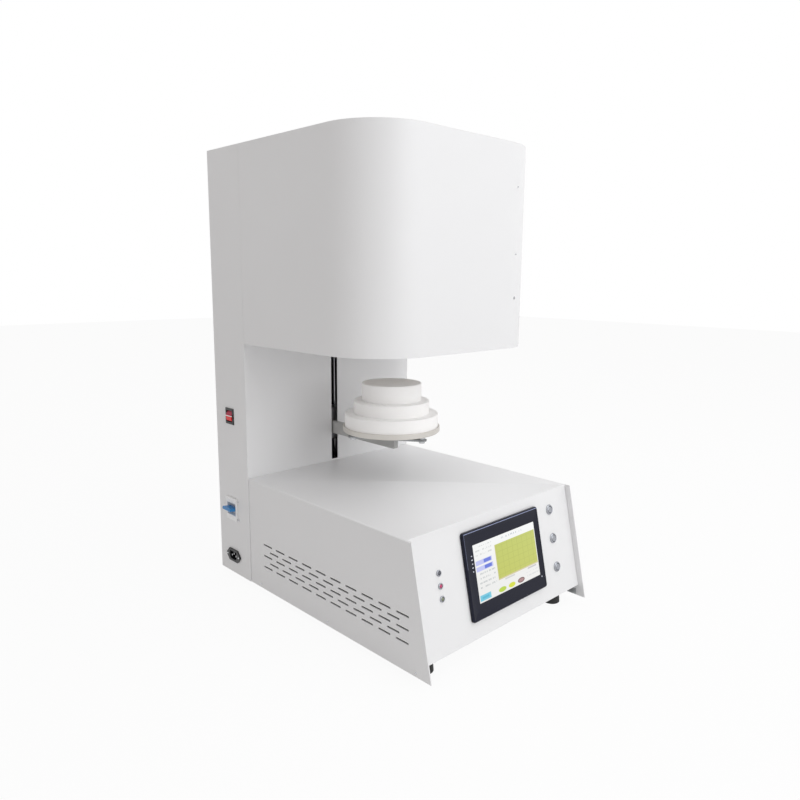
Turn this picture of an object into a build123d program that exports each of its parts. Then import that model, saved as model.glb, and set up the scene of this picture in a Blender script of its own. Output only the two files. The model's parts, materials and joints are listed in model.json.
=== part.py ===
"""Dental porcelain furnace with a stepped hearth that a screw lift raises into a hood.

Millimetres. X is the width, Y runs from the front to the back, Z is up. The pieces are drawn
with x = 0 on the middle plane, y = 0 on the front face of the column and z = 0 on the table.
At the end all of them are moved together, so that the origin is under the middle of the whole.
"""

from build123d import *
import math
import os

os.makedirs("parts", exist_ok=True)

# Overall cabinet
BODY_W = 420.0
TOTAL_H = 824.0
COLUMN_D = 108.0
SIDE_T = 2.0
SHEET = 1.5
SEAM = 0.3
FIT = 0.2
SIDE_BOTTOM_Z = 12.0

# Base cabinet
BASE_TOP_Z = 219.0
BASE_TOP_D = 436.0
BASE_BOTTOM_D = 481.0
BASE_SETBACK = 1.5
BEND_R = 2.5
INNER_BEND_R = 0.2
PANEL_RECESS = 10.0
PANEL_T = 2.0
PANEL_BOTTOM_Z = 33.0
PANEL_RETURN = 15.0
FLOOR_T = 2.0
FLOOR_FLANGE = 9.0
FLOOR_FLANGE_SETBACK = 4.0
FLOOR_NOTCH = 6.0
FOOT_H = 22.0
FOOT_TOP_R = 14.0
FOOT_BOTTOM_R = 16.0
FOOT_INSET = 36.0

# Ventilation slots in the base sides
VENT_L = 28.0
VENT_W = 3.0
VENT_PITCH = 40.0
VENT_ROW_PITCH = 10.8
VENT_ROWS = 5
VENT_COUNT = 10
VENT_FIRST_Y = -60.0
VENT_FIRST_Z = 58.0

# Touch screen on the front panel
SCREEN_X = 5.0
SCREEN_TOP = 18.5
BEZEL_W = 200.0
BEZEL_H = 143.5
BEZEL_T = 6.0
BEZEL_R = 5.0
HOUSING_W = 191.0
HOUSING_H = 135.0
HOUSING_D = 30.0
CUTOUT_GAP = 0.5
WINDOW_W = 164.5
WINDOW_H = 95.0
WINDOW_LEFT = 20.3
WINDOW_TOP = 23.5
GLASS_T = 1.4

# Indicator lamps, down the left of the front panel
LAMP_X = -152.0
LAMP_FIRST = 64.7
LAMP_PITCH = 20.0
LAMP_FLANGE_R = 5.0
LAMP_FLANGE_T = 2.0
LAMP_BARREL_R = 4.0
LAMP_BARREL_L = 12.0
LENS_R = 2.9
LENS_SEAT_T = 3.0

# Push buttons, down the right of the front panel
BUTTON_X = 146.8
BUTTON_FIRST = 34.3
BUTTON_PITCH = 52.4
BUTTON_FLANGE_R = 9.0
BUTTON_FLANGE_T = 3.0
BUTTON_BARREL_R = 7.9
BUTTON_BARREL_L = 22.0
CAP_R = 5.8
CAP_PROUD = 3.5
CAP_L = 9.0
CAP_ROUND = 2.1
BUTTON_TRAVEL = 2.0
MOVING_GAP = 0.3

# Hood
HOOD_H = 350.0
HOOD_D = 357.0
HOOD_R = 105.0
HOOD_RETURN = 15.0
MOUTH_Y = -172.0

# Furnace inside the hood
CASING_R = 150.0
CASING_T = 2.0
CASING_TOP_GAP = 52.0
LID_T = 2.0
LINING_GAP = 0.5
CHAMBER_R = 80.0
CHAMBER_H = 130.0
THROAT_H = 12.0
STEP_GAP_R = 2.5
STEP_GAP_Z = 3.0

# Heating elements
ELEMENT_COUNT = 4
ELEMENT_PITCH_R = 66.0
LEG_SPACING = 50.0
SHANK_R = 4.5
HOT_R = 2.25
SHANK_IN_CHAMBER = 6.0
ELEMENT_CLEARANCE = 30.0
HOLDER_L = 76.0
HOLDER_W = 20.0
HOLDER_H = 20.0
STRAP_W = 14.0
STRAP_T = 3.0
STRAP_LIFT = 2.0
SHANK_PROUD = 4.0
SUPPLY_END_Y = 30.0
THERMO_R = 4.0
THERMO_HEAD_R = 16.0
THERMO_HEAD_H = 30.0
THERMO_TIP = 15.0
THERMO_ROUND = 3.0

# Hearth and tray
TRAY_R = 91.5
TRAY_WALL = 3.0
TRAY_FLOOR = 3.0
TRAY_H = 10.0
TRAY_Z = 312.0
LOWER_R = 88.0
LOWER_H = 31.0
MIDDLE_R = 71.0
MIDDLE_H = 24.0
UPPER_R = 56.0
UPPER_H = 33.0
HEARTH_EDGE = 1.0

# Lift arm and bracket
ARM_T = 10.0
ARM_H = 25.0
ARM_PAST_CENTRE = 14.0
ARM_NOSE_R = 4.0
BRACKET_T = 3.0
STUD_PITCH_R = 75.0
STUD_ANGLES = (155.0, 35.0, -85.0)
STUD_R = 3.0
STUD_HOLE_GAP = 0.1
NUT_AF = 10.0
NUT_H = 4.0
SPACER_H = 7.0
BRACKET_CORNER = 9.0

# Lift drive
SLOT_W = 16.0
SLOT_BOTTOM_LIFT = 3.0
SLOT_TOP_PAST_HOOD = 6.0
CLOSE_GAP = 1.0
LIFT_DOWN = 50.0
AXIS_Y = 50.0
RAIL_X = 40.0
RAIL_R = 8.0
RUN_GAP = 0.05
BUSH_GAP = 0.02
SCREW_R = 6.0
JOURNAL_R = 5.0
CARRIAGE_W = 116.0
CARRIAGE_FRONT_Y = 12.0
CARRIAGE_D = 64.0
CARRIAGE_H = 66.0
CARRIAGE_BELOW_ARM = 15.0
BEARING_R = 14.0
NUT_BODY_R = 10.0
NUT_BODY_L = 38.0
NUT_FLANGE_R = 16.0
NUT_FLANGE_T = 8.0
BLOCK_W = 120.0
BLOCK_T = 20.0
BLOCK_FRONT = 29.0
LOWER_BLOCK_Z = 150.0
UPPER_BLOCK_PAST = 40.0
FRAME_Y = 88.0
FRAME_T = 4.0
FRAME_BELOW = 24.0
FRAME_ABOVE = 20.0
MOTOR_W = 56.4
MOTOR_H = 72.0
MOTOR_PLATE_T = 6.0
MOTOR_PLATE_W = 90.0
MOTOR_PLATE_BELOW = 44.0
MOTOR_SHAFT_R = 4.0
MOTOR_SHAFT_GAP = 2.0
MOTOR_CHAMFER = 4.0
SHAFT_IN_MOTOR = 20.0
COUPLING_R = 12.5
COUPLING_L = 30.0
COUPLING_LIFT = 6.0
JOURNAL_LIFT = 0.5

# Fan on the rear cover
FAN_W = 80.0
FAN_D = 25.0
FAN_BELOW_TOP = 124.0
FAN_BORE_R = 37.5
ROTOR_R = 36.0
ROTOR_HUB_R = 17.0
ROTOR_D = 17.0
FAN_HUB_T = 3.5
FAN_STRUT_W = 5.0
FAN_PIN_R = 2.0
FAN_PIN_SHORT = 2.0
FAN_BOSS_R = 16.0
FAN_STRUT_BITE = 1.0
FAN_CORNER_R = 4.0
ROTOR_LIFT = 1.0
ROTOR_BORE_SPARE = 1.0
BLADE_ROOT = 2.0
BLADE_COUNT = 7
BLADE_T = 1.6
BLADE_CHORD = 17.0
BLADE_PITCH = 38.0
GUARD_T = 1.5
GUARD_WIRE = 2.0
GUARD_RINGS = (10.0, 19.0, 28.0, 37.0)
GUARD_EAR_R = 4.5
FAN_HOLE_OFFSET = 35.75

# Window in the column front for air and the supply bars, hidden by the hood
AIR_WINDOW_W = 200.0
AIR_WINDOW_H = 165.0
AIR_WINDOW_TOP_GAP = 18.0

# Vent slots low in the rear cover
REAR_VENT_L = 60.0
REAR_VENT_W = 4.0
REAR_VENT_PITCH = 12.0
REAR_VENT_ROWS = 8
REAR_VENT_X = 120.0
REAR_VENT_Z = 60.0

# Rocker switch in the column's left side
SWITCH_Y = 57.5
SWITCH_Z = 331.5
SWITCH_W = 28.0
SWITCH_H = 31.0
SWITCH_PROUD = 2.0
SWITCH_BODY_W = 24.0
SWITCH_BODY_H = 27.0
SWITCH_BODY_D = 25.0
SWITCH_POCKET_W = 20.0
SWITCH_POCKET_H = 22.0
SWITCH_POCKET_D = 14.0
ROCKER_PIVOT_IN = 4.0
ROCKER_RIDGE = 8.5
ROCKER_END = 4.6
ROCKER_HALF_H = 9.6
ROCKER_BACK = 3.0
ROCKER_BACK_HALF_H = 7.0
ROCKER_TILT = 10.0
ROCKER_PIN_R = 1.5
ROCKER_PIN_L = 1.4

# Circuit breaker in the column's left side
BREAKER_Y = 59.5
BREAKER_Z = 145.5
BREAKER_W = 36.0
BREAKER_NOSE_H = 45.0
BREAKER_NOSE_PROUD = 3.0
BREAKER_BODY_H = 80.0
BREAKER_BODY_D = 56.0
BREAKER_LIP_H = 4.0
BREAKER_LIP_PROUD = 2.0
BREAKER_GAP = 0.5
TOGGLE_POCKET_W = 30.0
TOGGLE_POCKET_H = 24.0
TOGGLE_POCKET_D = 10.0
TOGGLE_W = 28.0
TOGGLE_T = 6.0
TOGGLE_REACH = 15.0
TOGGLE_HUB_R = 3.5
TOGGLE_PIVOT_IN = 2.0
TOGGLE_UP = 8.0
TOGGLE_PIN_R = 1.2
TOGGLE_PIN_IN = 1.0
TOGGLE_ROUND = 1.5

# Power inlet in the column's left side
INLET_Y = 58.8
INLET_Z = 48.7
INLET_HALF_L = 26.0
INLET_HALF_FLAT = 14.5
INLET_HALF_H = 12.4
INLET_FLANGE_T = 3.0
INLET_EAR_R = 4.0
INLET_BODY_W = 30.0
INLET_BODY_H = 22.0
INLET_BODY_D = 24.0
SOCKET_W = 24.0
SOCKET_H = 16.5
SOCKET_D = 17.0
SOCKET_CORNER = 4.0
INLET_SCREW_PITCH = 40.0
PIN_L = 15.0
PIN_W = 4.0
PIN_T = 2.0
PIN_ROOT = 2.0
PIN_PITCH = 7.0
PIN_RISE = 3.0
PIN_DROP = 1.0

# Electrical parts on the floor of the base
CORE_W = 120.0
CORE_D = 70.0
CORE_H = 100.0
CORE_LEG = 20.0
CORE_WINDOW_W = 20.0
CORE_X = -95.0
CORE_Y = -235.0
COIL_OVERHANG = 20.0
COIL_GAP = 0.2
SINK_X = 80.0
SINK_Y = -250.0
SINK_W = 120.0
SINK_D = 90.0
SINK_H = 50.0
SINK_BASE_T = 8.0
SINK_FINS = 11
SINK_FIN_T = 2.5
MODULE_W = 80.0
MODULE_D = 60.0
MODULE_H = 25.0
MODULE_CHAMFER = 2.0
BOARD_X = 80.0
BOARD_Y = -110.0
BOARD_W = 150.0
BOARD_D = 100.0
BOARD_T = 1.6
# Across, along, width, depth and height of each larger component
BOARD_PARTS = (
    (-50.0, 10.0, 30.0, 24.0, 18.0),
    (-5.0, -20.0, 14.0, 14.0, 4.0),
    (35.0, 20.0, 22.0, 16.0, 12.0),
    (0.0, 38.0, 90.0, 10.0, 11.0),
    (48.0, -22.0, 20.0, 20.0, 22.0),
)
STANDOFF_R = 3.0
STANDOFF_H = 16.0
STANDOFF_INSET = 6.0

# Fasteners
SCREW_HEAD_R = 2.8
SCREW_HEAD_T = 1.2
SCREW_SHANK_R = 1.5
SCREW_HOLE_GAP = 0.1
SCREW_DRILL = 24.0
SCREW_ROUND = 0.7
OVERCUT = 1.0
SIDE_SCREW_Z = 19.0
SIDE_SCREW_REAR_Y = -35.0
SIDE_SCREW_MIDDLE_Y = -238.0
SIDE_SCREW_FRONT_INSET = 31.0
REAR_SCREW_INSET = 12.0
REAR_SCREW_ROWS = 4
BREAKER_SCREW_OUT = 3.5
BREAKER_SCREW_HALF = 18.5
HOOD_SCREW_ANGLE = -80.0
HOOD_SCREWS_BELOW_TOP = (72.0, 185.0, 261.0)

# Places that follow from the sizes above
HALF_W = BODY_W / 2
INNER_X = HALF_W - SIDE_T
BASE_X = HALF_W - BASE_SETBACK
BASE_INNER_X = BASE_X - SIDE_T
SIDE_SCREW_YS = (SIDE_SCREW_REAR_Y, SIDE_SCREW_MIDDLE_Y, SIDE_SCREW_FRONT_INSET - BASE_BOTTOM_D)
HOOD_Z = TOTAL_H - HOOD_H
HOOD_SCREW_ZS = tuple(TOTAL_H - drop for drop in HOOD_SCREWS_BELOW_TOP)
FAN_Z = TOTAL_H - FAN_BELOW_TOP
FLOOR_Z = FOOT_H
FLOOR_TOP = FLOOR_Z + FLOOR_T
PANEL_TILT = math.degrees(math.atan((BASE_BOTTOM_D - BASE_TOP_D) / (BASE_TOP_Z - SIDE_BOTTOM_Z)))
PANEL_TOP_Y = -(BASE_TOP_D - PANEL_RECESS)
TILT_SIN = math.sin(math.radians(PANEL_TILT))
TILT_COS = math.cos(math.radians(PANEL_TILT))
PANEL_RUN = (BASE_TOP_Z - PANEL_BOTTOM_Z) / TILT_COS
HEARTH_BOTTOM = TRAY_Z + TRAY_FLOOR
LOWER_TOP = HEARTH_BOTTOM + LOWER_H
MIDDLE_TOP = LOWER_TOP + MIDDLE_H
UPPER_TOP = MIDDLE_TOP + UPPER_H
LIFT_UP = HOOD_Z - CLOSE_GAP - (TRAY_Z + TRAY_H)
ARM_TOP = TRAY_Z - SPACER_H - BRACKET_T
ARM_Z = ARM_TOP - ARM_H
CARRIAGE_Z = ARM_Z - CARRIAGE_BELOW_ARM
CASING_TOP = TOTAL_H - CASING_TOP_GAP
LINING_R = CASING_R - CASING_T - LINING_GAP
PLATE_TOP = HOOD_Z + SHEET
LEDGE_LOWER = LOWER_TOP + LIFT_UP + STEP_GAP_Z
LEDGE_MIDDLE = MIDDLE_TOP + LIFT_UP + STEP_GAP_Z
CHAMBER_Z = LEDGE_MIDDLE + THROAT_H + STEP_GAP_Z
CHAMBER_TOP = CHAMBER_Z + CHAMBER_H
SHANK_BOTTOM = CHAMBER_TOP - SHANK_IN_CHAMBER
LID_TOP = CASING_TOP + LID_T
STRAP_Z = LID_TOP + HOLDER_H + STRAP_LIFT
SHANK_TOP = STRAP_Z + STRAP_T + SHANK_PROUD
ELEMENT_BEND_R = LEG_SPACING / 2
ELEMENT_BOTTOM = CHAMBER_Z + ELEMENT_CLEARANCE
UPPER_BLOCK_Z = CARRIAGE_Z + CARRIAGE_H + LIFT_UP + UPPER_BLOCK_PAST
MOTOR_PLATE_Z = LOWER_BLOCK_Z - MOTOR_PLATE_BELOW - MOTOR_PLATE_T
COUPLING_Z = MOTOR_PLATE_Z + MOTOR_PLATE_T + COUPLING_LIFT

PANEL = Plane(origin=(0, PANEL_TOP_Y, BASE_TOP_Z), x_dir=(1, 0, 0), z_dir=(0, -TILT_COS, TILT_SIN))


def block(x0, x1, y0, y1, z0, z1):
    """A box between two corners."""
    centre = Pos((x0 + x1) / 2, (y0 + y1) / 2, (z0 + z1) / 2)
    return centre * Box(x1 - x0, y1 - y0, z1 - z0)


def upright(x, y, z0, z1, r):
    """A cylinder that stands along Z."""
    return Pos(x, y, (z0 + z1) / 2) * Cylinder(r, z1 - z0)


def along_x(x0, x1, y, z, r):
    """A cylinder that lies along X."""
    return Pos((x0 + x1) / 2, y, z) * Rot(0, 90, 0) * Cylinder(r, x1 - x0)


def along_y(x, y0, y1, z, r):
    """A cylinder that lies along Y."""
    return Pos(x, (y0 + y1) / 2, z) * Rot(90, 0, 0) * Cylinder(r, y1 - y0)


def on_panel(x, down, out=0.0):
    """A place on the front panel: across, down from its top edge, and out from its face."""
    return Location(PANEL) * Pos(x, -down, out)


def polar(r, degrees):
    """A point on a circle around the hearth's centre line."""
    a = math.radians(degrees)
    return r * math.cos(a), MOUTH_Y + r * math.sin(a)


def hexagon(x, y, z0, z1, across_flats):
    """An upright hexagonal bar."""
    face = Plane.XY.offset(z0) * Pos(x, y) * RegularPolygon(across_flats / math.sqrt(3), 6)
    return extrude(face, amount=z1 - z0)


def hood_outline(inset, back_y):
    """The hood's plan, as far inside its outer face as inset says."""
    r = HOOD_R - inset
    half = HALF_W - inset
    front = -(HOOD_D - inset)
    sketch = Pos(0, (front + back_y) / 2) * Rectangle(2 * half, back_y - front)
    corners = sketch.vertices().sort_by(Axis.Y)[:2]
    return fillet(corners, r)


def screw(place):
    """A pan-head screw whose head stands on the local XY plane, with its shank going down."""
    head = Pos(0, 0, SCREW_HEAD_T / 2) * Cylinder(SCREW_HEAD_R, SCREW_HEAD_T)
    head = fillet(head.edges().sort_by(Axis.Z)[-1:], SCREW_ROUND)
    length = SIDE_T + SHEET
    shank = Pos(0, 0, -length / 2) * Cylinder(SCREW_SHANK_R, length)
    return place * (head + shank)


def side_screw_places(side):
    """The screws along the bottom of a base side: side is -1 for the left and 1 for the right."""
    turn = Rot(0, 90 * side, 0)
    return [Pos(side * BASE_X, y, SIDE_SCREW_Z) * turn for y in SIDE_SCREW_YS]


def rear_screw_places():
    """The screws up both edges of the rear cover."""
    bottom = FLOOR_TOP + REAR_SCREW_INSET
    step = (TOTAL_H - SHEET - REAR_SCREW_INSET - bottom) / (REAR_SCREW_ROWS - 1)
    places = []
    for x in (-INNER_X + REAR_SCREW_INSET, INNER_X - REAR_SCREW_INSET):
        for row in range(REAR_SCREW_ROWS):
            places.append(Pos(x, COLUMN_D, bottom + row * step) * Rot(-90, 0, 0))
    return places


def fan_screw_places():
    """The four screws that hold the fan and its guard."""
    places = []
    for sx in (-1, 1):
        for sz in (-1, 1):
            spot = Pos(sx * FAN_HOLE_OFFSET, COLUMN_D + GUARD_T, FAN_Z + sz * FAN_HOLE_OFFSET)
            places.append(spot * Rot(-90, 0, 0))
    return places


def breaker_screw_places():
    """The two screws in front of the breaker's window."""
    y = BREAKER_Y - BREAKER_W / 2 - BREAKER_SCREW_OUT
    turn = Rot(0, -90, 0)
    return [Pos(-HALF_W, y, BREAKER_Z + s * BREAKER_SCREW_HALF) * turn for s in (-1, 1)]


def inlet_screw_places():
    """The two screws in the ears of the inlet's flange."""
    turn = Rot(0, -90, 0)
    x = -HALF_W - INLET_FLANGE_T
    return [Pos(x, INLET_Y + s * INLET_SCREW_PITCH / 2, INLET_Z) * turn for s in (-1, 1)]


def hood_screw_places():
    """Three screws down the front of the hood, where its right corner begins."""
    a = math.radians(HOOD_SCREW_ANGLE)
    x = HALF_W - HOOD_R + HOOD_R * math.cos(a)
    y = HOOD_R - HOOD_D + HOOD_R * math.sin(a)
    turn = Rot(0, 0, HOOD_SCREW_ANGLE) * Rot(0, 90, 0)
    return [Pos(x, y, z) * turn for z in HOOD_SCREW_ZS]


def drill(shape, places):
    """Cuts screw holes into a shape."""
    for place in places:
        shape -= place * Cylinder(SCREW_SHANK_R + SCREW_HOLE_GAP, SCREW_DRILL)
    return shape


def floor_plate():
    """Folded floor pan: flanges down both sides and an upstand under the front panel's return."""
    front = panel_y(PANEL_BOTTOM_Z) + PANEL_RETURN - FIT
    back = COLUMN_D - SHEET
    flange_front = panel_y(PANEL_BOTTOM_Z) + FLOOR_FLANGE_SETBACK
    flange_z = FLOOR_Z - FLOOR_FLANGE
    pan = block(-BASE_INNER_X, BASE_INNER_X, front, 0, FLOOR_Z, FLOOR_TOP)
    pan += block(-INNER_X, INNER_X, 0, back, FLOOR_Z, FLOOR_TOP)
    for side in (-1, 1):
        x0, x1 = sorted((side * (BASE_INNER_X - SHEET), side * BASE_INNER_X))
        pan += block(x0, x1, flange_front, 0, flange_z, FLOOR_TOP)
        x0, x1 = sorted((side * (INNER_X - SHEET), side * INNER_X))
        pan += block(x0, x1, FLOOR_NOTCH, back, flange_z, FLOOR_TOP)
        pan = drill(pan, side_screw_places(side))
    return pan + block(-BASE_INNER_X, BASE_INNER_X, front - SHEET, front, FLOOR_Z, PANEL_BOTTOM_Z)


def panel_y(z):
    """Where the front panel's face is at a height."""
    return PANEL_TOP_Y - (BASE_TOP_Z - z) * TILT_SIN / TILT_COS


def rubber_feet():
    """Four round rubber feet under the floor."""
    feet = []
    front = panel_y(PANEL_BOTTOM_Z) + FOOT_INSET
    for x in (-INNER_X + FOOT_INSET, INNER_X - FOOT_INSET):
        for y in (front, COLUMN_D - FOOT_INSET):
            cone = Cone(FOOT_BOTTOM_R, FOOT_TOP_R, FOOT_H)
            feet.append(Pos(x, y, FOOT_H / 2) * cone)
    return feet


def vent_slot(side, y, z):
    """One round-ended slot through a base side."""
    plan = SlotOverall(VENT_L, VENT_W)
    turned = Plane(origin=(side * BASE_X, y, z), x_dir=(0, 1, 0), z_dir=(side, 0, 0)) * plan
    return extrude(turned, amount=-2 * SIDE_T, both=True)


def across(points, half):
    """A bar along X between -half and half, with its section given as points in Y and Z."""
    face = Plane(origin=(0, 0, 0), x_dir=(0, 1, 0), z_dir=(1, 0, 0))
    return extrude(face * make_face(Polyline(*points, close=True)), amount=half, both=True)


def base_shell():
    """Folded cover of the base. Its sides stand ahead of the sloping panel and have the slots."""
    ceiling = BASE_TOP_Z - SIDE_T
    below = SIDE_BOTTOM_Z - OVERCUT
    outline = [
        (-SEAM, SIDE_BOTTOM_Z),
        (-BASE_BOTTOM_D, SIDE_BOTTOM_Z),
        (-BASE_TOP_D, BASE_TOP_Z),
        (-SEAM, BASE_TOP_Z),
    ]
    shell = across(outline, BASE_X)
    shell = fillet(shell.faces().sort_by(Axis.Z)[-1].edges().filter_by(Axis.Y), BEND_R)
    room = across([(OVERCUT, below), (-2 * BASE_BOTTOM_D, below), (-2 * BASE_BOTTOM_D, ceiling),
                   (OVERCUT, ceiling)], BASE_INNER_X)
    shell -= fillet(room.faces().sort_by(Axis.Z)[-1].edges().filter_by(Axis.Y), INNER_BEND_R)
    shell -= across([(PANEL_TOP_Y, BASE_TOP_Z), (PANEL_TOP_Y, BASE_TOP_Z + OVERCUT),
                     (-BASE_BOTTOM_D, BASE_TOP_Z + OVERCUT), (-BASE_BOTTOM_D, ceiling - OVERCUT),
                     (panel_y(ceiling - OVERCUT), ceiling - OVERCUT)], BASE_INNER_X)
    for side in (-1, 1):
        for row in range(VENT_ROWS):
            odd = row % 2
            for i in range(VENT_COUNT - odd):
                y = VENT_FIRST_Y - VENT_PITCH * (i + odd / 2)
                shell -= vent_slot(side, y, VENT_FIRST_Z + row * VENT_ROW_PITCH)
        shell = drill(shell, side_screw_places(side))
    return shell


def front_panel():
    """Sloping front panel with a return at its foot and openings for what it carries."""
    back = PANEL_T / TILT_COS
    foot = panel_y(PANEL_BOTTOM_Z)
    inner_z = PANEL_BOTTOM_Z + PANEL_T
    top_z = BASE_TOP_Z - SIDE_T
    panel = across([
        (panel_y(top_z), top_z),
        (foot, PANEL_BOTTOM_Z),
        (foot + PANEL_RETURN, PANEL_BOTTOM_Z),
        (foot + PANEL_RETURN, inner_z),
        (panel_y(inner_z) + back, inner_z),
        (panel_y(top_z) + back, top_z),
    ], BASE_INNER_X - FIT)
    deep = 4 * PANEL_T
    opening = Box(HOUSING_W + 2 * CUTOUT_GAP, HOUSING_H + 2 * CUTOUT_GAP, deep)
    panel -= screen_place() * opening
    for i in range(3):
        panel -= lamp_place(i) * Cylinder(LAMP_BARREL_R + SCREW_HOLE_GAP, deep)
        panel -= button_place(i) * Cylinder(BUTTON_BARREL_R + SCREW_HOLE_GAP, deep)
    return panel


def screen_place():
    """Middle of the touch screen's bezel, on the panel's face."""
    return on_panel(SCREEN_X, SCREEN_TOP + BEZEL_H / 2)


def lamp_place(i):
    """Centre of one indicator lamp."""
    return on_panel(LAMP_X, LAMP_FIRST + i * LAMP_PITCH)


def button_place(i):
    """Centre of one push button."""
    return on_panel(BUTTON_X, BUTTON_FIRST + i * BUTTON_PITCH)


def window_place(out):
    """Middle of the screen's window, at a height above the panel's face."""
    x = -BEZEL_W / 2 + WINDOW_LEFT + WINDOW_W / 2
    y = BEZEL_H / 2 - WINDOW_TOP - WINDOW_H / 2
    return screen_place() * Pos(x, y, out)


def screen_housing():
    """Bezel of the touch screen with its deep rear housing."""
    bezel = extrude(RectangleRounded(BEZEL_W, BEZEL_H, BEZEL_R), amount=BEZEL_T)
    bezel = chamfer(bezel.edges().group_by(Axis.Z)[-1], BEZEL_T / 4)
    rear = Pos(0, 0, -HOUSING_D / 2) * Box(HOUSING_W, HOUSING_H, HOUSING_D)
    housing = screen_place() * (bezel + rear)
    return housing - window_place(BEZEL_T) * Box(WINDOW_W, WINDOW_H, 2 * (GLASS_T + SCREW_HOLE_GAP))


def screen_glass():
    """Glass of the touch screen, just below the bezel's face."""
    gap = SCREW_HOLE_GAP
    slab = Box(WINDOW_W - 2 * gap, WINDOW_H - 2 * gap, GLASS_T)
    return window_place(BEZEL_T - gap - GLASS_T / 2) * slab


def indicator_bezels():
    """Three lamp holders: a flange, a barrel through the panel and a bore for the lens."""
    bezels = []
    for i in range(3):
        flange = Pos(0, 0, LAMP_FLANGE_T / 2) * Cylinder(LAMP_FLANGE_R, LAMP_FLANGE_T)
        flange = chamfer(flange.edges().sort_by(Axis.Z)[-1:], LAMP_FLANGE_T / 4)
        barrel = Pos(0, 0, -LAMP_BARREL_L / 2) * Cylinder(LAMP_BARREL_R, LAMP_BARREL_L)
        holder = flange + barrel
        depth = LAMP_FLANGE_T + LENS_SEAT_T
        holder -= Pos(0, 0, LAMP_FLANGE_T - depth / 2) * Cylinder(LENS_R + RUN_GAP, depth)
        bezels.append(lamp_place(i) * holder)
    return bezels


def indicator_lenses():
    """Three domed lenses, seated in the lamp holders."""
    lenses = []
    for i in range(3):
        length = LENS_SEAT_T + LAMP_FLANGE_T
        lens = Pos(0, 0, -LENS_SEAT_T + length / 2) * Cylinder(LENS_R, length)
        dome = Pos(0, 0, LAMP_FLANGE_T) * Sphere(LENS_R)
        dome &= Pos(0, 0, LAMP_FLANGE_T + LENS_R / 2) * Cylinder(LENS_R, LENS_R)
        lenses.append(lamp_place(i) * (lens + dome))
    return lenses


def button_bodies():
    """Three round button housings with a bore in which the cap slides."""
    bodies = []
    for i in range(3):
        flange = Pos(0, 0, BUTTON_FLANGE_T / 2) * Cylinder(BUTTON_FLANGE_R, BUTTON_FLANGE_T)
        flange = chamfer(flange.edges().sort_by(Axis.Z)[-1:], BUTTON_FLANGE_T / 3)
        barrel = Pos(0, 0, -BUTTON_BARREL_L / 2) * Cylinder(BUTTON_BARREL_R, BUTTON_BARREL_L)
        body = flange + barrel
        depth = CAP_L - CAP_PROUD + BUTTON_TRAVEL + MOVING_GAP
        bore = Cylinder(CAP_R + MOVING_GAP, depth)
        body -= Pos(0, 0, BUTTON_FLANGE_T - depth / 2) * bore
        bodies.append(button_place(i) * body)
    return bodies


def button_cap(i):
    """One button cap with a softly domed top."""
    cap = Pos(0, 0, BUTTON_FLANGE_T + CAP_PROUD - CAP_L / 2) * Cylinder(CAP_R, CAP_L)
    cap = fillet(cap.edges().sort_by(Axis.Z)[-1:], CAP_ROUND)
    return button_place(i) * cap


def column_side(side):
    """One side of the column. The left one has the openings for switch, breaker and inlet."""
    x0, x1 = sorted((side * INNER_X, side * HALF_W))
    plate = block(x0, x1, 0, COLUMN_D, SIDE_BOTTOM_Z, TOTAL_H)
    if side > 0:
        return plate
    over = 4 * SIDE_T
    at = Pos(-HALF_W, SWITCH_Y, SWITCH_Z)
    plate -= at * Box(over, SWITCH_BODY_W + 2 * FIT, SWITCH_BODY_H + 2 * FIT)
    at = Pos(-HALF_W, BREAKER_Y, BREAKER_Z)
    plate -= at * Box(over, BREAKER_W + 2 * BREAKER_GAP, BREAKER_NOSE_H + 2 * BREAKER_GAP)
    at = Pos(-HALF_W, INLET_Y, INLET_Z)
    plate -= at * Box(over, INLET_BODY_W + 2 * FIT, INLET_BODY_H + 2 * FIT)
    return drill(plate, breaker_screw_places() + inlet_screw_places())


def column_front_panel():
    """Front sheet of the column with the lift's slot and, behind the hood, an air window."""
    sheet = block(-INNER_X, INNER_X, 0, SHEET, FLOOR_TOP, TOTAL_H - SHEET)
    slot_top = HOOD_Z + SLOT_TOP_PAST_HOOD
    slot_bottom = BASE_TOP_Z + SLOT_BOTTOM_LIFT
    sheet -= block(-SLOT_W / 2, SLOT_W / 2, -SHEET, 2 * SHEET, slot_bottom, slot_top)
    top = TOTAL_H - AIR_WINDOW_TOP_GAP
    half = AIR_WINDOW_W / 2
    return sheet - block(-half, half, -SHEET, 2 * SHEET, top - AIR_WINDOW_H, top)


def column_rear_cover():
    """Rear sheet of the column with the fan's hole and two groups of slots."""
    y0 = COLUMN_D - SHEET
    cover = block(-INNER_X, INNER_X, y0, COLUMN_D, FLOOR_TOP, TOTAL_H - SHEET)
    cover -= along_y(0, y0 - SHEET, COLUMN_D + SHEET, FAN_Z, FAN_BORE_R)
    for x in (-REAR_VENT_X, REAR_VENT_X):
        for row in range(REAR_VENT_ROWS):
            z = REAR_VENT_Z + row * REAR_VENT_PITCH
            plan = Plane(origin=(x, COLUMN_D, z), x_dir=(1, 0, 0), z_dir=(0, -1, 0))
            slot = plan * SlotOverall(REAR_VENT_L, REAR_VENT_W)
            cover -= extrude(slot, amount=2 * SHEET, both=True)
    return drill(cover, rear_screw_places() + fan_screw_places())


def top_cover():
    """One sheet over the column and the hood, flush with their top edges."""
    back = -SEAM - SHEET - FIT
    z = TOTAL_H - SHEET
    sheet = extrude(Plane.XY.offset(z) * hood_outline(SHEET + FIT, back), amount=SHEET)
    half = HALF_W - HOOD_RETURN - FIT
    sheet += block(-half, half, back - SHEET, SHEET, z, TOTAL_H)
    half = INNER_X - FIT
    return sheet + block(-half, half, FIT, COLUMN_D - SHEET - FIT, z, TOTAL_H)


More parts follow.
